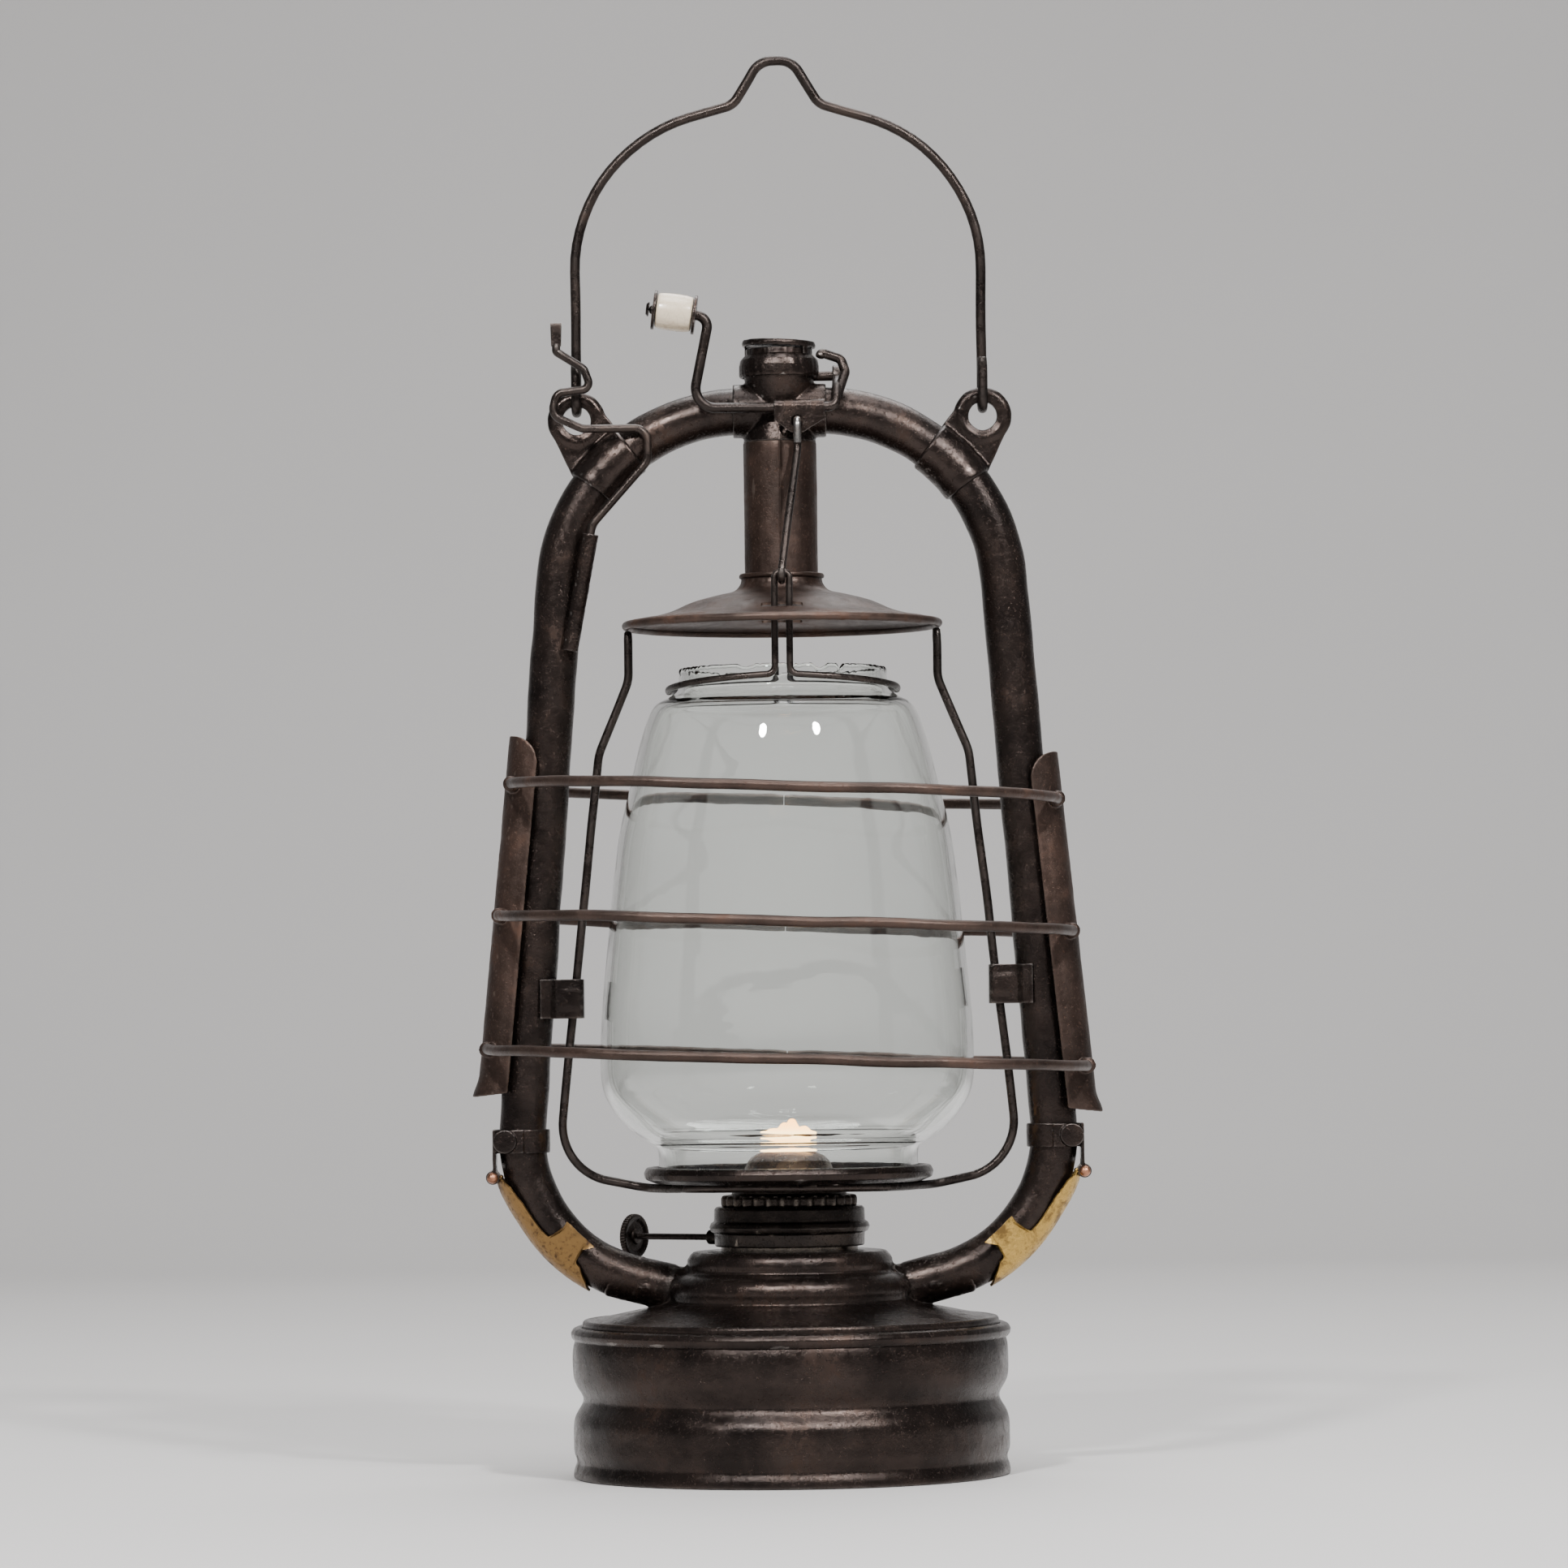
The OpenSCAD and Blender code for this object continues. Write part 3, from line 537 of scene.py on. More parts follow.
def scratched_brass(name, bright, tarnish, tarnished, rough=(0.2, 0.42)):
    look = Look(name)
    cloud = look.noise(120, 6, 0.65, twist=0.3)
    grime = look.noise(620, 8, 0.7)
    scratch = look.noise(700, 3, 0.6, (1, 1, 0.06))
    share = look.sum("MAXIMUM", look.span(cloud, 0.5, 0.62),
                     look.sum("MULTIPLY", look.span(grime, 0.52, 0.66), 0.7))
    share = look.sum("MULTIPLY", share, tarnished)
    colour = look.mix(share, bright, tarnish)
    look.set(Base_Color=colour, Metallic=0.95,
             Roughness=look.sum("ADD", look.span(grime, 0.3, 0.7, *rough),
                                look.span(share, 0, 1, 0, 0.15)))
    look.bump(look.sum("ADD", look.span(scratch, 0.35, 0.65), look.span(grime, 0.4, 0.7)), 0.05)
    return look.mat


def glazed_ceramic(name):
    look = Look(name)
    grime = look.noise(260, 8, 0.7)
    craze = look.tree.nodes.new("ShaderNodeTexVoronoi")
    craze.feature = "DISTANCE_TO_EDGE"
    craze.inputs["Scale"].default_value = 420
    look.put(craze.inputs["Vector"], look.where)
    cracks = look.span(craze.outputs["Distance"], 0.0, 0.035, 1.0, 0.0)
    colour = look.mix(look.span(grime, 0.5, 0.78), (0.6, 0.5, 0.37), (0.27, 0.17, 0.1))
    colour = look.mix(look.sum("MULTIPLY", cracks, 0.35), colour, (0.3, 0.22, 0.15))
    look.set(Base_Color=colour, Roughness=look.span(grime, 0.35, 0.7, 0.24, 0.5),
             Coat_Weight=0.35, Coat_Roughness=0.15)
    look.bump(grime, 0.04)
    return look.mat


def lamp_glass(name):
    look = Look(name)
    dust = look.noise(240, 8, 0.7)
    smear = look.noise(60, 5, 0.6, (1, 1, 0.3), 0.5)
    haze = look.sum("MULTIPLY", look.span(dust, 0.55, 0.85), look.span(smear, 0.4, 0.75))
    look.set(Base_Color=(0.965, 0.985, 0.965), IOR=1.48, Transmission_Weight=1.0,
             Roughness=look.span(haze, 0, 1, 0.0, 0.16))
    look.bump(look.noise(34, 3, 0.5), 0.12)
    return look.mat


def woven_wick(name):
    look = Look(name)
    turned = look.tree.nodes.new("ShaderNodeMapping")
    look.put(turned.inputs["Vector"], look.where)
    turned.inputs["Rotation"].default_value = (0, 0, -BURNER_TURN)
    waves = []
    for axis in ("X", "Z"):
        wave = look.tree.nodes.new("ShaderNodeTexWave")
        wave.bands_direction = axis
        wave.inputs["Scale"].default_value = 330
        wave.inputs["Distortion"].default_value = 0.6
        look.put(wave.inputs["Vector"], turned.outputs[0])
        waves.append(wave.outputs["Fac"])
    weave = look.sum("MULTIPLY", *waves)
    height = look.tree.nodes.new("ShaderNodeSeparateXYZ")
    look.put(height.inputs[0], look.where)
    ragged = look.sum("ADD", height.outputs["Z"], look.span(look.noise(500), 0, 1, -0.001, 0.001))
    char = look.span(ragged, (WICK_TOP - 5) * MM, (WICK_TOP - 1.5) * MM)
    colour = look.mix(weave, (0.5, 0.42, 0.3), (0.74, 0.66, 0.52))
    look.set(Base_Color=look.mix(char, colour, (0.02, 0.017, 0.015)), Roughness=0.9,
             Sheen_Weight=0.25)
    look.bump(weave, 0.25)
    return look.mat


def cork_rubber(name):
    look = Look(name)
    grain = look.noise(1100, 6, 0.7)
    look.set(Base_Color=look.mix(grain, (0.025, 0.022, 0.02), (0.09, 0.075, 0.06)), Roughness=0.8)
    look.bump(grain, 0.1)
    return look.mat


def rubbed_steel():
    """Bright steel where use keeps a wire polished."""
    look = Look("rubbed_steel")
    grime = look.noise(400, 7, 0.7)
    colour = look.mix(look.span(grime, 0.4, 0.7), (0.45, 0.43, 0.41), (0.12, 0.1, 0.09))
    look.set(Base_Color=colour, Metallic=1.0, Roughness=look.span(grime, 0.3, 0.7, 0.16, 0.4))
    look.bump(grime, 0.03)
    return look.mat


MATERIALS = {
    "aged_steel": worn_metal("aged_steel", (0.017, 0.0125, 0.011), (0.042, 0.03, 0.0255),
                             (0.34, 0.31, 0.29), (0.05, 0.026, 0.016), 0.5, (0.17, 0.33), 0.4),
    "wire_steel": worn_metal("wire_steel", (0.017, 0.0125, 0.011), (0.04, 0.03, 0.026),
                             (0.26, 0.23, 0.21), (0.045, 0.024, 0.015), 0.5, (0.24, 0.4), 0.3),
    "rusty_steel": worn_metal("rusty_steel", (0.03, 0.0185, 0.014), (0.065, 0.04, 0.031),
                              (0.22, 0.17, 0.14), (0.085, 0.038, 0.022), 0.75, (0.33, 0.5), 0.25,
                              0.7),
    "burner_metal": worn_metal("burner_metal", (0.017, 0.0135, 0.012), (0.045, 0.035, 0.029),
                               (0.42, 0.36, 0.3), (0.045, 0.026, 0.016), 0.4, (0.16, 0.32), 0.55),
    "heated_brass": worn_metal("heated_brass", (0.045, 0.026, 0.016), (0.12, 0.072, 0.042),
                               (0.4, 0.26, 0.14), (0.05, 0.028, 0.018), 0.6, (0.22, 0.4), 0.4),
    "bright_brass": scratched_brass("bright_brass", (0.5, 0.32, 0.09), (0.1, 0.055, 0.024), 0.75),
    "dull_brass": scratched_brass("dull_brass", (0.22, 0.13, 0.05), (0.05, 0.028, 0.018), 0.95,
                                  (0.28, 0.46)),
    "copper_pin": scratched_brass("copper_pin", (0.42, 0.2, 0.12), (0.12, 0.06, 0.04), 0.7),
    "ceramic": glazed_ceramic("ceramic"),
    "glass": lamp_glass("glass"),
    "wick_cotton": woven_wick("wick_cotton"),
    "gasket_rubber": cork_rubber("gasket_rubber"),
}


def finish_as(obj, node):
    obj.data.materials.clear()
    obj.data.materials.append(MATERIALS[SLOT[node]])


def stands_for(obj, *nodes):
    """obj takes the place, the body and the finish of these CAD nodes."""
    finish_as(obj, nodes[0])
    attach(obj, BODY[nodes[0]])
    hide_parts(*nodes)


def adds_to(obj, node):
    """obj is an extra piece that rides with a CAD node."""
    finish_as(obj, node)
    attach(obj, BODY[node])


# ---- Tank ----

def groove(z, at, width):
    """1 in the middle of a rolled groove, falling to 0 beside it."""
    return math.exp(-((z - at) / width) ** 2)


def tank_wall_r(z):
    waist, neck, hem = groove(z, 23.3, 4), groove(z, SEAM_Z + 1, 4), groove(z, 5, 2)
    return TANK_R - 2.9 * waist - 1.5 * neck - 0.9 * hem


RIM = [(62.3, SEAM_Z + 1), (62.35, SEAM_Z + 2.8), (61.9, SEAM_Z + 3.7), (60.9, SEAM_Z + 3.9),
       (59.5, SEAM_Z + 3.7), (57.5, SEAM_Z + 4.2)]
STEPS = [(38, 51.1), (36.3, 51.9), (36.2, 53.4), (36.5, 55.2), (36.1, 57.3), (34.9, 59), (33, 60),
         (31.1, 60.5), (30.5, 61.4), (30.7, 63), (30.3, 64.9), (29.3, 66.3), (27.6, 66.9),
         (20.6, 67)]


def shoulder():
    """Outline of the tank's stepped top, from its rim up to the burner."""
    return catmull(RIM, 4) + catmull(STEPS, 4)


def make_tank():
    wall = [Vector((tank_wall_r(z), z)) for z in np.arange(0.6, SEAM_Z - 0.9, 0.7)]
    skin = dents(22, 0.32, 3.0)

    def lapped(p, t):
        q = skin(p, t)
        lap = 0.45 * smoothstep(0.05, 0.06, t - 1.2) * (1 - smoothstep(0.14, 0.16, t - 1.2))
        return q * (1 + lap / TANK_R) if 2 < p.z < 40 and lap else q

    stands_for(lathe("tank_wall", shell(wall, 1), 256, lapped), "tank_body")

    bead = [(62.5, 41.2), (63.2, 40.3), (64.7, 40.7), (65.6, 41.8), (65.8, 43.1), (65.1, 44.4),
            (63.7, 45), (62.5, 44.7)]
    ring = rounded(bead, 1.2, 4)
    stands_for(lathe("rolled_seam", ring, 256, dents(30, 0.1, 8.0)), "tank_seam")

    top = resampled(shoulder(), 1.6)
    dome = lathe("tank_dome", shell(top, 1), 256, dents(20, 0.22, 5.0))
    hole = lathe("hole", [(0.01, 40), (8, 40), (8, 60), (0.01, 60)], 48,
                 at=Matrix.Translation((0, 49, 0)))
    stands_for(cut(dome, hole), "tank_top")

    pan_r = TANK_R - 3.2
    pan = rounded([(pan_r, 0.9), (pan_r, 3.2), (pan_r - 1.2, 4.4), (0.03, 4.6)], 1, 3, closed=False)
    stands_for(lathe("tank_pan", shell(pan, 1), 160), "tank_bottom")

    stands_for(softened("filler_spout", "filler_neck", 0.3, 2), "filler_neck")
    stands_for(softened("ribbed_cap", "filler_cap", 0.25, 3), "filler_cap")


def foot_axis():
    foot, corner = Vector(TUBE_PATH[3]), Vector(TUBE_PATH[2])
    return foot, (corner - foot).normalized()


def make_solder(side, name):
    """Lumpy fillet where a side tube enters the tank's dome."""
    foot, way = foot_axis()
    stub = lathe("stub", [(0.02, -4), (TUBE_R - 0.2, -4), (TUBE_R - 0.2, 22), (0.02, 22)], 48,
                 at=along(foot, way))
    skin = shell([(p[0], p[1] - 0.3) for p in resampled(shoulder(), 1.5)], 3)
    patch = lathe("patch", skin, 40, span=math.radians(46))
    blob = fused(joined("blob", [stub, patch]), 0.5, 30)

    def lumps(p, n):
        near = smoothstep(16, 9, (p - foot - way * 6).length)
        return n * (0.1 + near * (0.45 * noise.noise(p * 0.33) + 0.3 * noise.noise(p * 0.8)))
    moved(blob, lumps)
    if side < 0:
        reflected(blob)
    blob.name = f"{name}_solder"
    adds_to(blob, "tank_top")


# ---- Frame ----

def make_tubes():
    def seam(_, out):
        """A faint rolled seam along the back of the tube."""
        return 1 + 0.03 * max(0, out.y) ** 60

    for side, name in SIDES:
        path = [Vector((p[0] * side, p[1], p[2])) for p in TUBE_PATH]
        tube = sweep(f"{name}_side_tube", path, [0, CROWN_BEND, FOOT_BEND, 0], TUBE_R, 64, 3, 3,
                     0.25, 0.1, seam)
        stands_for(tube, f"{name}_tube")


def make_crown():
    stands_for(softened("crown_saddle", "crown", 0.35, 9, 0.08), "crown")
    chimney = shell([(11, z) for z in np.linspace(262.5, 308.6, 24)], 1)

    def seam(p, t):
        back = dents(18, 0.12, 2.0)(p, t)
        ridge = 0.35 * math.exp(-((t - 1.5 * math.pi) / 0.03) ** 2)
        return back + outward(t) * ridge
    stands_for(lathe("chimney_pipe", chimney, 200, seam), "chimney_tube")

    z = CROWN_Z + 10
    collar = [(11.0, z), (11.7, z - 0.1), (12, z + 0.8), (12, z + 3.4), (11.6, z + 5.2),
              (10.4, z + 6.5), (9.9, z + 6.9), (9.9, z + 8.6), (9, z + 8.6), (9, z + 5.4),
              (10.9, z + 5)]
    stands_for(lathe("chimney_cap_ring", rounded(collar, 0.8, 4), 128, dents(7, 0.25, 1.0)),
               "chimney_collar")
    stands_for(softened("chimney_lid_disc", "chimney_lid", 0.22, 4, 0.1), "chimney_lid")
    stands_for(softened("sheath_tube", "tool_sheath", 0.22, 5, 0.12), "tool_sheath")
    for name in ("band_left", "band_right"):
        stands_for(softened(f"{name}_sheet", name, 0.25, 4, 0.06), name)
    for name in ("clip_pin_left", "clip_pin_right"):
        stands_for(softened(f"{name}_peened", name, 0.2, 4), name)


def crown_centre():
    """Centre of the crown's bend, as (x, z)."""
    slope = math.atan((TUBE_PATH[2][0] - TUBE_PATH[1][0]) / (CROWN_Z - TUBE_PATH[2][2]))
    x = TUBE_PATH[1][0] - CROWN_BEND * math.tan((math.pi / 2 - slope) / 2)
    return Vector((x, CROWN_Z - CROWN_BEND))


def make_ears():
    """Band round the bent tube with a pressed web and a thick rolled eye for the bail."""
    middle = crown_centre()
    eye = Vector((61, 316.4))

    def polar(angle, reach):
        return middle + Vector((math.cos(angle), math.sin(angle))) * reach

    def placed(flat, y):
        return Vector((flat.x, y, flat.y))

    for side, name in reversed(SIDES):
        path = [placed(polar(math.radians(a), CROWN_BEND), 0) for a in np.linspace(35.5, 53.5, 13)]
        band = sweep("band", path, [0] * 13, TUBE_R + 0.95, 56, 5, 1, 0, 0.05)
        ring = []
        for k in range(64):
            t = TAU * k / 64
            for j in range(20):
                u = TAU * j / 20
                flat = eye + Vector((math.cos(t), math.sin(t))) * (6.55 + 2.25 * math.cos(u))
                ring.append(placed(flat, 1.9 * math.sin(u)))
        rows = grid_faces(65, 20, True)
        eyelet = solid("eyelet", ring, [tuple(i % len(ring) for i in f) for f in rows])
        outline = resampled([polar(math.radians(36), 58), polar(math.radians(35.5), 62.2),
                             eye + Vector((8.1, -2.6)), eye + Vector((6.6, 2)),
                             eye + Vector((2, 6.6)), eye + Vector((-4.9, 6.5)),
                             polar(math.radians(53.5), 62.2),
                             polar(math.radians(53), 58)], 1.5)
        web = prism("web", *([placed(p, y) for p in outline] for y in (-1.3, 1.3)))
        ear = fused(joined("ear", [band, web, eyelet]), 0.3, 9)
        gap = lathe("gap", [(0.01, -6), (4.25, -6), (4.25, 6), (0.01, 6)], 48,
                    at=along(placed(eye, 0), (0, 1, 0)))
        cut(ear, gap)
        fused(ear, 0.3, 3)
        moved(ear, lambda p, n: n * 0.12 * noise.noise(p * 0.3))
        if side < 0:
            reflected(ear)
        ear.name = f"{name}_ear_sheet"
        stands_for(ear, f"{name}_ear")


def make_guides():
    """Sheet loops that keep the globe frame's wire beside the side tubes."""
    for side, name in SIDES:
        low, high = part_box(f"{name}_guide")
        z0, z1 = low.z / MM, high.z / MM
        bend = rounded([(73.6, 7.7), (70.6, 7.0), (69.2, 5.6), (61, 4.2), (61, -4.2), (69.2, -5.6),
                        (70.6, -7.0), (73.6, -7.7)], 1.3, 4, closed=False)
        line = resampled(bend, 0.7)
        grid = []
        for z in np.linspace(z0, z1, 15):
            f = (z - z0) / (z1 - z0)
            press = 0.45 * smoothstep(0.2, 0.32, f) * smoothstep(0.8, 0.68, f)
            grid.append([Vector((p.x * side, p.y * (1 + press * smoothstep(70, 66, p.x) / 6), z))
                         for p in line])
        stands_for(sheet_solid(f"{name}_guide_loop", grid, 0.8), f"{name}_guide")


# ---- Wires ----

def bail_point(x, z):
    """Point of the bail's leaning plane at that side and height."""
    return (x, BAIL_HOOK_R * (BAIL_TOP - z) / (BAIL_TOP - EAR[2] + BAIL_HOOK_R), z)


def make_wires():
    ear_x, r = EAR[0], BAIL_HOOK_R
    under = EAR[2] - r
    bail_half = [(ear_x, -r, 334), (ear_x, -r, under), (ear_x, r, under),
                 bail_point(ear_x, 397.5), bail_point(13, 411.3), bail_point(5, BAIL_TOP)]
    stands_for(sweep("bail_wire", mirrored(bail_half), there_and_back([0, r, 3.7, 48, 6, 7]), 1.5,
                     20, 5, 3, 0.3, 0.4), "bail")

    run = (CRANK_Y, CROWN_Z)
    eye = Vector((17.5, 0, AXLE_Z))
    arm = sweep("arm", [CRANK_TIP, CRANK_ELBOW, (-26.2, *run), (16.6, *run), (17.3, -10.6, 324.4),
                        eye + 2 * unit((0, -10.6, -4.6))],
                [0, 3.5, 6, 2.5, 4, 0], 1.5, 20, 6, 2, 0.1)
    hook = sweep("hook", [(16.2, *run), (19.9, -6.6, 329.6), (18.6, -5.2, 333.6),
                          (12.7, -6.6, 335.4), (12.2, -7.2, 333.9)],
                 [0, 2.4, 2.2, 1, 0], 1.45, 20, 10, 1, 0.05, 0.3)
    bore = lathe("bore", rounded([(1.6, 0), (3.2, 0), (3.2, 3), (1.6, 3)], 0.5, 3), 40,
                 at=along((16, 0, AXLE_Z), (1, 0, 0)))
    stands_for(joined("crank_wire", [arm, hook, bore]), "lever", "lever_eye")

    rod = [(5.2, -20.7, 307.2), (5.2, -20.7, 314.3), (5.2, -12.9, 314.3), (5.2, -12.9, 306),
           (0, -30.2, 268.6), (0, -30.2, 265.6), (0, -35.8, 265.6), (0, -35.8, 269)]
    rod_wire = sweep("lift_rod", rod, [0, 1.9, 1.9, 6, 6, 2, 2, 0], 1.15, 16, 8, 2, 0.08, 0.3)
    stands_for(rod_wire, "pull_rod")
    rod_wire.data.materials.append(rubbed_steel())
    for face in rod_wire.data.polygons:
        on_hook = face.center.y < -19 * MM and face.center.z > 300 * MM
        face.material_index = 1 if on_hook else 0

    hold = [(34.3, -2, 234.6), (34.1, -33.9, 236.2), (2.2, -33, 238), (2.2, -33, 268.2)]
    front = sweep("front_spring_wire", mirrored(hold), there_and_back([0, 29, 2.5, 2]), 1, 16, 5, 2,
                  0.15)
    stands_for(front, "holddown_front")
    back = [(x, -y, z) for x, y, z in hold]
    rear = sweep("rear_spring_wire", mirrored(back), there_and_back([0, 29, 2.5, 2]), 1, 16, 5, 2,
                 0.15)
    stands_for(rear, "holddown_rear")

    half = [(46.3, 0, 253), (46.3, 0, 238), (55.4, 0, 216), (69.2, 0, 91.6), (43, 0, 86.1),
            (27, -24.2, 86.1)]
    bends = there_and_back([0, 12, 16, 17, 8, 10])
    stands_for(sweep("globe_frame_wire", mirrored(half), bends, 1.3, 16, 5, 3, 0.3), "globe_frame")

    start, mouth = Vector((-63.1, -7.9, 248.8)), Vector((-56.9, TOOL_Y, 281.6))
    way = unit(mouth - start)
    bent = [(-39.6, 303.4), (-39.6, 313.2), (-59, 313.2), (-68.2, 317.4), (-66.6, 324),
            (-56.2, 325.2), (-58.4, 331.2), (-66.6, 336.4), (-66.6, 339)]
    tool = [start + 10 * way, mouth + 3 * way] + [(x, TOOL_Y, z) for x, z in bent]
    wire = sweep("wire", tool, [0, 4, 4.4, 4, 5, 3.4, 3, 2.2, 2.6, 1, 0], 1.25, 18, 8, 2, 0.05)
    blade = [[Vector((-68.3 + 3.4 * u + 0.4 * (1 - v) * (0.5 - u), TOOL_Y, 338 + 7 * v))
              for u in (0, 0.25, 0.5, 0.75, 1)] for v in np.linspace(0, 1, 8)]
    spade = sheet_solid("spade", blade, 1)
    stands_for(joined("tool_wire", [wire, spade]), "lamp_tool")


def make_crank_fittings():
    axle = sweep("axle_rod", [(-10.4, 0, AXLE_Z), (19.6, 0, AXLE_Z)], [0, 0], 1.5, 24, 5, 1, 0, 0.5)
    stands_for(axle, "lever_axle")
    stands_for(softened("link_plate", "lift_link", 0.15, 3, 0.04), "lift_link")
    stands_for(softened("grip_caps", "grip_washers", 0.16, 3, 0.05), "grip_washers")
    start, corner = Vector(CRANK_TIP), Vector(CRANK_ELBOW)
    way = unit(corner - start)
    roller = [(1.6, 0.05), (4.6, 0), (5.05, 0.25), (5.25, 0.8), (5.45, 2.2), (5.55, 4.2),
              (5.55, 6.6), (5.45, 8.6), (5.25, 10), (5.05, 10.55), (4.6, 10.8), (1.6, 10.75)]
    knob = lathe("ceramic_roller", rounded(roller, 0.5, 3), 96, dents(6, 0.05, 6.0),
                 at=along(start + 2.2 * way, way))
    stands_for(knob, "grip")


# ---- Globe, canopy and plate ----

GLOBE = [(39, 88.5), (39, 97), (41.5, 99.4), (46.6, 102.9), (52.6, 109.8), (55.4, 116.5),
         (55.9, 126), (55.3, 140), (53.7, 157), (51.8, 175), (49.6, 192), (46.5, 205),
         (43.4, 218), (40.6, 226.6), (38.2, 230.6), (34.6, 232.6), (31.8, 234.6), (31.3, 237),
         (31.3, 240.4)]
CANOPY = [(47.3, 254.4), (44.2, 256), (39, 256.9), (33.5, 258.4), (27, 261.2), (20, 263.1),
          (14.6, 264.4), (12.4, 266.6), (12, 269.2)]


def make_globe():
    def blown(p, t):
        """Slightly uneven, with a chipped top rim."""
        way = outward(t)
        wide = 0.18 * noise.noise(Vector((way.x * 1.4, way.y * 1.4, p.z / 45)))
        q = p + way * wide
        rim = smoothstep(238.6, 241, p.z)
        nick = max(0, noise.noise(Vector((way.x * 9, way.y * 9, 4.0))) - 0.1)
        fine = max(0, noise.noise(Vector((way.x * 31, way.y * 31, 1.0))) - 0.1)
        q.z -= rim * (2.4 * nick + 0.9 * fine)
        return q
    profile = shell(resampled(catmull(GLOBE, 6), 2), 2)
    stands_for(lathe("globe_glass", profile, 288, blown), "globe")


def make_canopy():
    pressed = shell(catmull(CANOPY, 6), 0.8)
    cover = lathe("canopy_cover", pressed, 256, dents(16, 0.25, 4.0))
    slots = []
    for side in (-1, 1):
        outline = rounded([(-6.2, -2), (6.2, -2), (6.2, 2), (-6.2, 2)], 0.8, 3)
        low = [Vector((p.x, side * 33 + p.y, 240)) for p in outline]
        high = [Vector((p.x, side * 33 + p.y, 280)) for p in outline]
        slots.append(prism("slot", low, high))
    cut(cover, *slots)
    rim = lathe("rim", [(46.8 + 1.3 * math.cos(t), 254.3 + 1.3 * math.sin(t))
                        for t in (TAU * k / 16 for k in range(16))], 256, dents(16, 0.25, 4.0))
    neck = lathe("neck", rounded([(11.2, 268.2), (12.7, 268.2), (12.8, 269), (12.5, 269.6),
                                  (11.2, 269.6)], 0.4, 3), 128, dents(9, 0.15, 2.0))
    stands_for(joined("canopy_sheet", [cover, rim, neck]), "canopy")


def make_plate():
    z = 87.4
    dish = rounded([(15, z), (40, z), (43, z + 1.2), (43.4, z + 3), (42.6, z + 4.7),
                    (41.2, z + 4.9), (40.2, z + 4.2), (40, z + 2.2), (39.2, z + 1), (16, z + 1),
                    (16, z + 2.4), (15, z + 2.4)], 1, 4)
    plate = lathe("perforated_plate", dish, 240, dents(20, 0.12, 7.0))
    holes = [lathe("hole", [(0.01, z - 2), (1.6, z - 2), (1.6, z + 4), (0.01, z + 4)], 20,
                   at=Matrix.Rotation(TAU * k / 24, 4, "Z") @ Matrix.Translation((28, 0, 0)))
             for k in range(24)]
    stands_for(cut(plate, joined("holes", holes)), "globe_plate")


# ---- Guard ----

def guard_apex(z):
    """How far out the leaning channel's edge is at height z."""
    return GUARD_EDGE + (HOOP_Z[2] - z) * 0.1


def hoop_half(i):
    """Half the width of a hoop, measured to the middle of its wire."""
    return guard_apex(HOOP_Z[i]) - HOOP_SEAT


def make_guard():
    low, high, channel_r = 112, 217, 8.6
    tilt = Matrix.Rotation(HOOP_TILT, 4, "Y")
    drop = hoop_half(1) * math.sin(HOOP_TILT)
    for i, name in enumerate(("bottom", "middle", "top")):
        x, y = hoop_half(i), HOOP_DEPTH
        at = Matrix.Translation((0, 0, HOOP_Z[i])) @ tilt
        corners = [(0, y, 0), (x, y, 0), (x, -y, 0), (-x, -y, 0), (-x, y, 0), (-0.2, y, 0)]
        path = [at @ Vector(p) for p in corners]
        bends = [0, *[HOOP_BEND] * 4, 0]
        hoop = sweep(f"{name}_hoop_wire", path, bends, HOOP_R, 20, 3, 3, 0.5, 0.1)
        stands_for(hoop, f"hoop_{name}")

    for side, name in SIDES:
        grid = []
        for row in range(106):
            line = []
            for v in np.linspace(-1, 1, 33):
                angle = v * math.radians(92)
                inward = min(1, 1 - math.cos(angle))
                top = high + 1.5 - 8 * (1 - math.sqrt(1 - min(0.999, inward) ** 2))
                bottom = low - 1.5 + 1.2 * inward
                z = bottom + (top - bottom) * row / 105
                flare = 1.5 * smoothstep(low + 5, low - 2, z) * (1 - inward)
                roll = 0.5 * smoothstep(0.8, 1, abs(v))
                r = channel_r + 0.12 * noise.noise(Vector((z / 8, v * 2, side)))
                x = guard_apex(z) - channel_r - 0.4 + r * math.cos(angle) + flare
                y = (r + roll) * math.sin(angle)
                line.append(Vector((x * side, y, z - side * drop)))
            grid.append(line)
        parts = [sheet_solid("channel", grid, 0.85)]
        for i in range(3):
            x, r = hoop_half(i), HOOP_BEND
            turn = Matrix.Translation((0, 0, HOOP_Z[i])) @ tilt
            curve = [Vector((x - r + r * math.cos(t), HOOP_DEPTH - r + r * math.sin(t), 0))
                     for t in (0.02, 0.05, 0.09)]
            line = [flip(p) if side < 0 else p for p in
                    [Vector((p.x, -p.y, 0)) for p in reversed(curve)] + [Vector((x, 0, 0))] + curve]
            for k, r in ((0, 2.25), (1, 2.8)):
                path = [turn @ p for p in (line if k == 0 else line[:2])]
                parts.append(sweep("bead", path, [0] * len(path), r, 24, 6, 1, 0.1, 0.8))
        channel = fused(joined(f"{name}_guard_channel", parts), 0.28, 5, 0.05)
        stands_for(channel, f"guard_plate_{name}")


# ---- Clips ----

def foot_centre():
    """Centre of the foot bend, as (x, z)."""
    a, b, c = (Vector(TUBE_PATH[i]) for i in (1, 2, 3))
    back, on = unit(a - b), unit(c - b)
    half = (b - a).angle(c - b) / 2
    o = b + unit(back + on) * FOOT_BEND / math.cos(half)
    return o.x, o.z


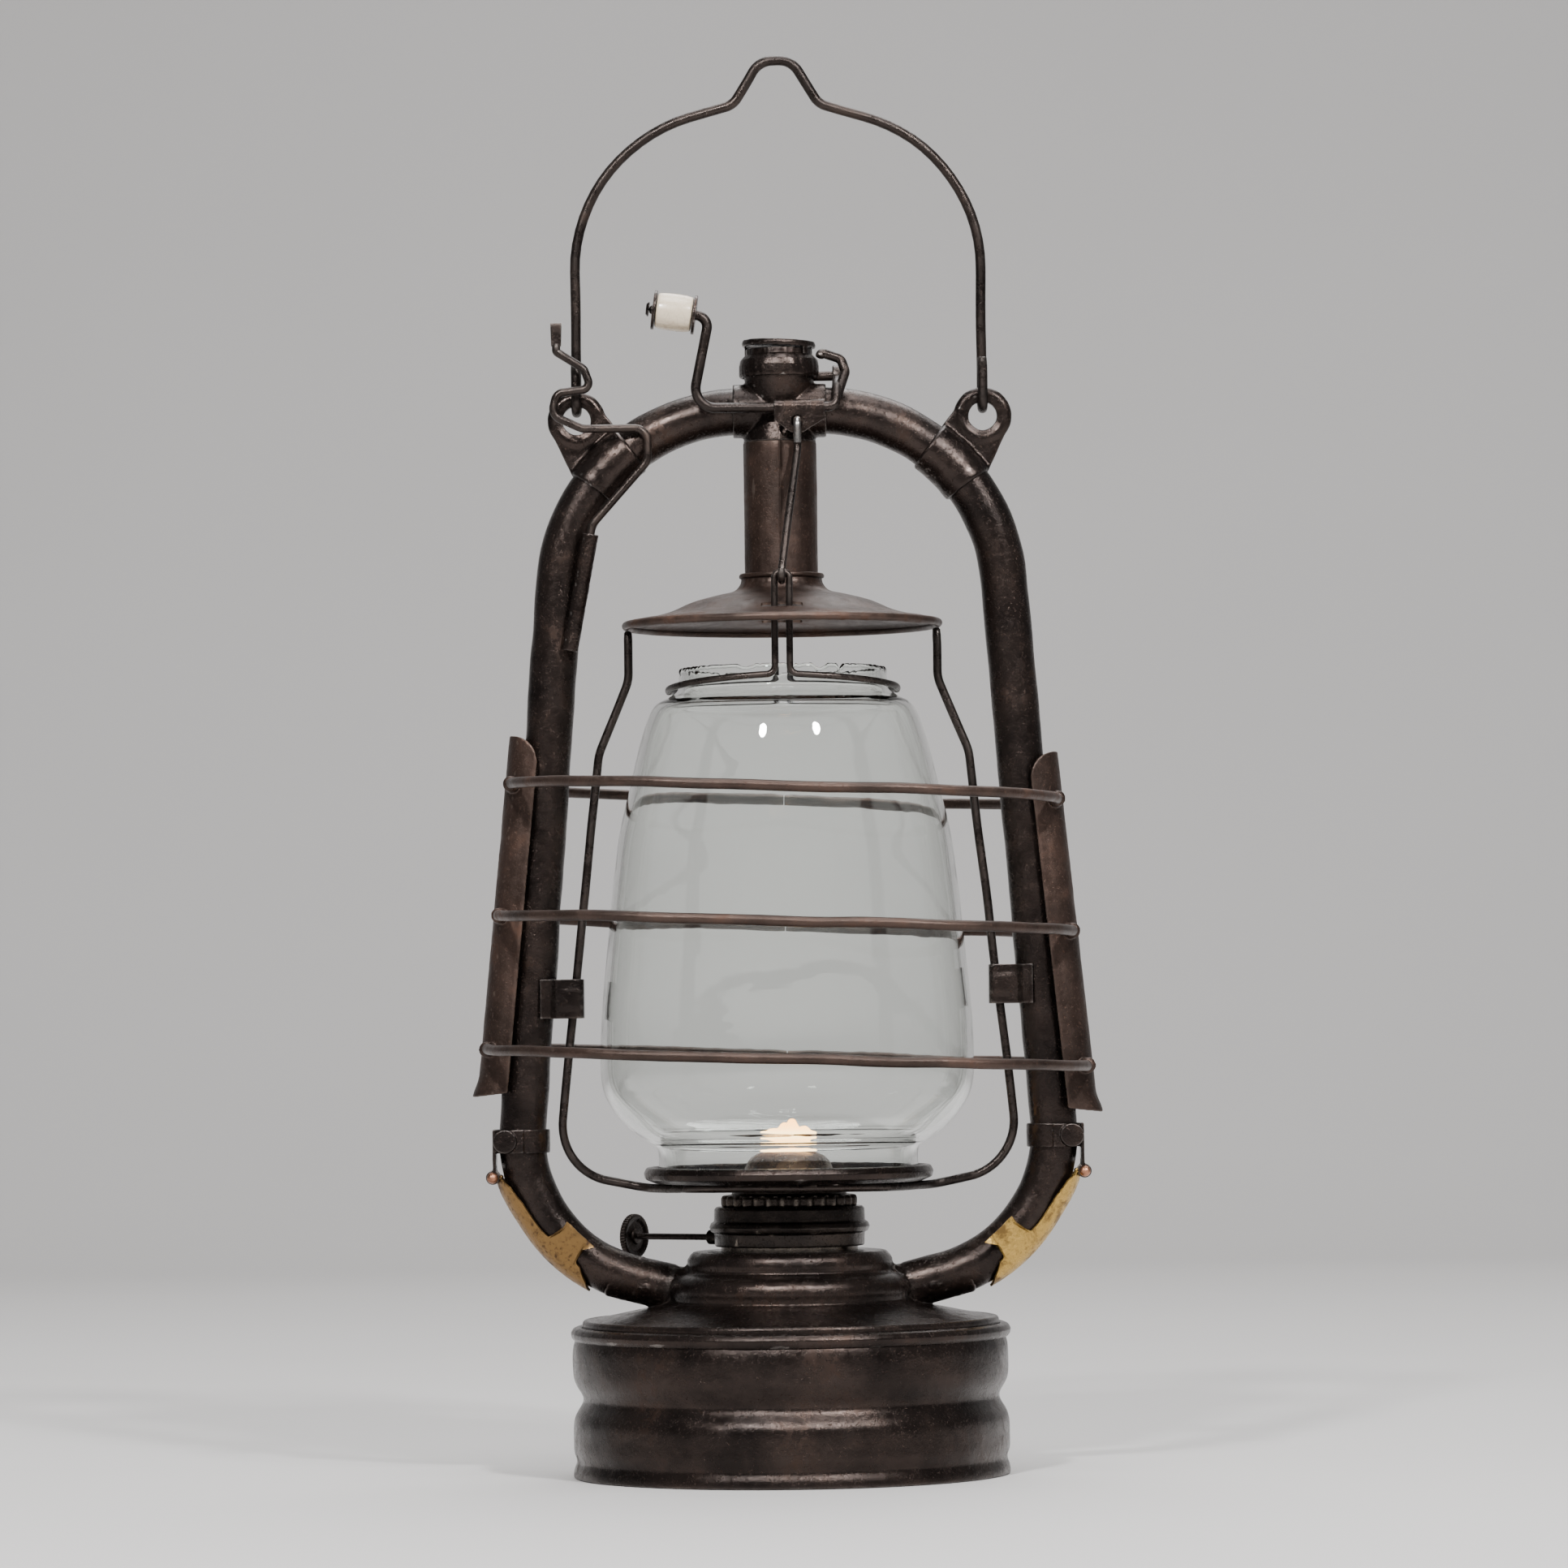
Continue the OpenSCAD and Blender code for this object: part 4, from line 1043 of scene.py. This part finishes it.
def make_clips():
    cx, cz = foot_centre()

    def on_bend(a, reach, w, side):
        """Point at angle a about the foot bend's centre, w to the front."""
        t = math.radians(a)
        return Vector((side * (cx + reach * math.cos(t)), -w, cz + reach * math.sin(t)))

    wrap = ((-62, 3), (-59.5, 38), (-55, 66), (-52.6, 70), (-51.6, 118), (-40.4, 118), (-39.2, 70),
            (-36, 66), (-24, 62), (-17, 50), (-13, 30))
    for side, name in SIDES:
        grid = []
        for a in np.linspace(-62, -13, 99):
            reach = float(np.interp(a, *zip(*wrap)))
            stand_off = 0.85 + 1.3 * smoothstep(-32, -13, a)
            lip = 1.5 * smoothstep(-53, -50.6, a) * smoothstep(-38.8, -41.4, a)
            line = []
            for f in np.linspace(-1, 1, 41):
                t = math.radians(f * reach)
                rho = TUBE_R + stand_off + lip * smoothstep(0.72, 1.05, f) ** 1.5 * 1.6
                line.append(on_bend(a, FOOT_BEND + rho * math.cos(t), rho * math.sin(t), side))
            grid.append(line)
        edge = grid[-1]
        for k in (0.3, 0.65, 1):
            grid.append([p.lerp(Vector((side * (HINGE[0] + 0.4), p.y * 0.55, HINGE[2] - 1.75)), k)
                         for p in edge])
        knuckle = rounded([(1.32, -1.8), (2.1, -1.8), (2.1, 1.8), (1.32, 1.8)], 0.3, 3)
        barrel = lathe("barrel", knuckle, 48,
                       at=along((side * HINGE[0], 0, HINGE[2]), (0, 1, 0)))
        parts = [sheet_solid("spring", grid, 0.7), barrel]
        stands_for(joined(f"{name}_spring_clip", parts), f"clip_{name}")


# ---- Burner ----

def burner_at(x, y, z):
    """Point of the turned burner, with x along its wick."""
    return Matrix.Rotation(BURNER_TURN, 4, "Z") @ Vector((x, y, z))


def make_burner():
    drum = [(18.4, 68.3), (22.4, 68.3), (22.5, 72.2), (23.5, 72.7), (24, 74), (23.5, 75.3),
            (22.6, 75.8), (22.5, 79.4), (21.8, 80.1), (17.4, 80.1), (17.4, 79.2), (21.4, 79),
            (21.4, 69.3), (18.4, 69.3)]
    body = lathe("drum", rounded(drum, 0.6, 4), 192, dents(14, 0.12, 3.0))
    floor_ring = lathe("floor_ring", rounded([(9.8, 68.4), (18.6, 68.4), (18.6, 69.2), (9.8, 69.2)],
                                             0.2, 2), 96)
    stands_for(joined("burner_drum", [body, floor_ring]), "burner_base")

    def fluted(p, t):
        radius = math.hypot(p.x, p.y)
        lift = smoothstep(18.4, 19.6, radius) * (1 - smoothstep(83.2, 83.7, p.z))
        way = outward(t)
        return p + way * 0.55 * lift * math.cos(30 * t)
    gallery = rounded([(16, 80.1), (19.6, 80.1), (19.8, 81), (19.8, 82.6), (19.4, 83.5),
                       (17.4, 83.7), (17.1, 84.2), (17, 87), (16, 87)], 0.4, 3)
    stands_for(lathe("fluted_gallery", gallery, 360, fluted), "burner_gallery")

    dome = [(13.6, 84.4), (13.6, 88), (13.2, 91.2), (11.9, 94), (9.4, 96.3), (6, 97.5),
            (0.03, 97.9)]
    cone = lathe("deflector", shell(catmull(dome, 5), 0.8), 160, dents(8, 0.1, 2.0))
    washer = rounded([(12.8, 83.6), (15.9, 83.6), (15.9, 84.5), (12.8, 84.5)], 0.2, 2)
    flange = lathe("flange", washer, 96)
    half_w, half_t = WICK_W / 2 + 0.8, 2.6
    corners = rounded([(-half_w, -half_t), (half_w, -half_t), (half_w, half_t), (-half_w, half_t)],
                      2.2, 5)
    opening = prism("opening", *([burner_at(p.x, p.y, z) for p in corners] for z in (90, 102)))
    cut(cone, opening)
    stands_for(joined("flame_deflector", [cone, flange]), "burner_cone")

    way = burner_at(-1, 0, 0)
    knob_at = burner_at(-KNOB_REACH, SHAFT_SIDE, SHAFT_Z)

    def knurled(p, t):
        rim = smoothstep(6.2, 6.7, math.hypot(p.x, p.y))
        return p + outward(t) * 0.16 * rim * math.cos(46 * t)
    wheel = [(0.03, -0.1), (2.2, -0.1), (2.4, 0.5), (4.4, 0.7), (5.2, 0.2), (6.2, 0), (6.65, 0.3),
             (6.65, 1.9), (6.2, 2.2), (5.2, 2.1), (4.4, 1.5), (2.6, 1.6), (2.2, 2.5), (1.4, 2.8),
             (0.03, 2.8)]
    stands_for(lathe("knurled_knob", rounded(wheel, 0.25, 2), 368, knurled, along(knob_at, way)),
               "wick_knob")
    inner_end = burner_at(9, SHAFT_SIDE, SHAFT_Z)
    shaft = sweep("wick_shaft_rod", [knob_at, inner_end], [0, 0], 0.95, 20, 5, 3, 0.0)
    stands_for(shaft, "wick_shaft")
    stands_for(softened("shaft_bush", "burner_bush", 0.15, 3), "burner_bush")
    stands_for(softened("wick_guide", "wick_tube", 0.22, 2), "wick_tube")
    stands_for(softened("wick_spurs", "wick_sprockets", 0.15, 2), "wick_sprockets")

    columns, rows = 24, 60
    grid = [[burner_at(-WICK_W / 2 + WICK_W * c / columns,
                       0.15 * math.sin(c * 1.3) + 0.12 * noise.noise(Vector((c / 4, r / 3, 0))),
                       WICK_FOOT + (WICK_TOP - 0.2 - WICK_FOOT) * r / rows)
             for c in range(columns + 1)]
            for r in range(rows + 1)]
    stands_for(sheet_solid("cotton_wick", grid, 1.6, bevel=0.4), "wick")


def dress_the_rest():
    """Gives the CAD nodes that nothing stands for their finish."""
    for node, obj in frame["nodes"].items():
        if not obj.hide_render:
            finish_as(obj, node)


# ---- Flame, studio and camera ----

def make_flame():
    look = Look("flame")
    look.tree.nodes.remove(look.shader)
    height = look.tree.nodes.new("ShaderNodeSeparateXYZ")
    look.put(height.inputs[0], look.where)
    up = look.span(height.outputs["Z"], (WICK_TOP + 1) * MM, (WICK_TOP + 11) * MM)
    glow = look.tree.nodes.new("ShaderNodeEmission")
    look.put(glow.inputs["Color"], look.mix(up, (1.0, 0.68, 0.32), (1.0, 0.45, 0.12)))
    glow.inputs["Strength"].default_value = 8
    look.put(look.tree.nodes["Material Output"].inputs["Surface"], glow.outputs[0])
    points, sides, rows = [], 24, 48
    for r in range(rows + 1):
        u = -1 + 2 * r / rows
        swell = math.sqrt(max(0, 1 - u * u)) + 0.02
        tongue = 0.62 + 0.3 * math.sin(2.6 * u + 1.3) + 0.3 * noise.noise(Vector((u * 4, 1, 0)))
        foot = WICK_TOP + 1.2 + 0.9 * abs(u)
        tall = 8.6 * swell ** 0.5 * max(0.45, min(1, tongue))
        for k in range(sides):
            t = TAU * k / sides
            points.append(burner_at(10 * u, 2.3 * swell * math.cos(t),
                                    foot + tall * (0.5 + 0.5 * math.sin(t))))
    flame = solid("flame", points, grid_faces(rows + 1, sides, True), 0.01)
    flame.data.materials.append(look.mat)
    light = bpy.data.lights.new("flame_light", "POINT")
    light.energy, light.color, light.shadow_soft_size = 0.3, (1, 0.5, 0.17), 0.006
    lamp = in_scene("flame_light", light)
    lamp.location = (0, 0, 0.106)
    lamp.visible_camera = lamp.visible_transmission = lamp.visible_glossy = False


def make_stage():
    look = Look("studio")
    look.set(Base_Color=look.mix(look.noise(3, 2), (0.5, 0.485, 0.475), (0.53, 0.515, 0.505)),
             Roughness=0.75)
    turn_y, cove = 1.6, 0.7
    line = [(-6, 0), (turn_y, 0)]
    line += [(turn_y + cove * math.sin(t), cove - cove * math.cos(t))
             for t in np.linspace(0.1, 1.5, 15)]
    line += [(turn_y + cove, 5)]
    rows = [[Vector((x, y, z)) / MM for x in (-7, -3, 0, 3, 7)] for y, z in line]
    floor = solid("studio_floor", [p for row in rows for p in row],
                  grid_faces(len(rows), 5, False))
    floor.data.shade_smooth()
    floor.data.materials.append(look.mat)

    world = bpy.data.worlds.new("studio")
    world.use_nodes = True
    back = world.node_tree.nodes["Background"]
    back.inputs["Color"].default_value = (0.93, 0.95, 1.0, 1)
    back.inputs["Strength"].default_value = 0.21
    bpy.context.scene.world = world

    centre = Vector((0, 0, 0.2))

    def area(name, azimuth, elevation, distance, size, energy, tint=(1, 1, 1)):
        a, e = math.radians(azimuth), math.radians(elevation)
        way = Vector((math.sin(a) * math.cos(e), -math.cos(a) * math.cos(e), math.sin(e)))
        light = bpy.data.lights.new(name, "AREA")
        light.shape, light.size, light.energy, light.color = "DISK", size, energy, tint
        lamp = in_scene(name, light)
        lamp.location = centre + way * distance
        lamp.rotation_mode = "QUATERNION"
        lamp.rotation_quaternion = (-way).to_track_quat("-Z", "Y")

    area("key_left", -19, 35, 1.8, 0.16, 34)
    area("key_right", 29, 35, 1.8, 0.16, 34)
    area("overhead", 15, 80, 1.7, 0.9, 20, (0.97, 0.98, 1))
    area("backdrop", 170, 60, 2.0, 1.5, 34)


def make_camera():
    data = bpy.data.cameras.new("camera")
    data.sensor_width = 36
    distance, view_height = 2.0, 0.470
    data.lens = data.sensor_width * distance / view_height
    camera = in_scene("camera", data)
    place, target = Vector((0, -distance, 0.14)), Vector((0, 0, 0.2065))
    camera.location = place
    camera.rotation_mode = "QUATERNION"
    roll = Matrix.Rotation(math.radians(-0.7), 3, "Z")
    facing = (target - place).to_track_quat("-Z", "Y").to_matrix() @ roll
    camera.rotation_quaternion = facing.to_quaternion()
    bpy.context.scene.camera = camera


make_tank()
for side, name in SIDES:
    make_solder(side, name)
make_tubes()
make_crown()
make_ears()
make_guides()
make_wires()
make_crank_fittings()
make_globe()
make_canopy()
make_plate()
make_guard()
make_clips()
make_burner()
dress_the_rest()
make_flame()
make_stage()
make_camera()
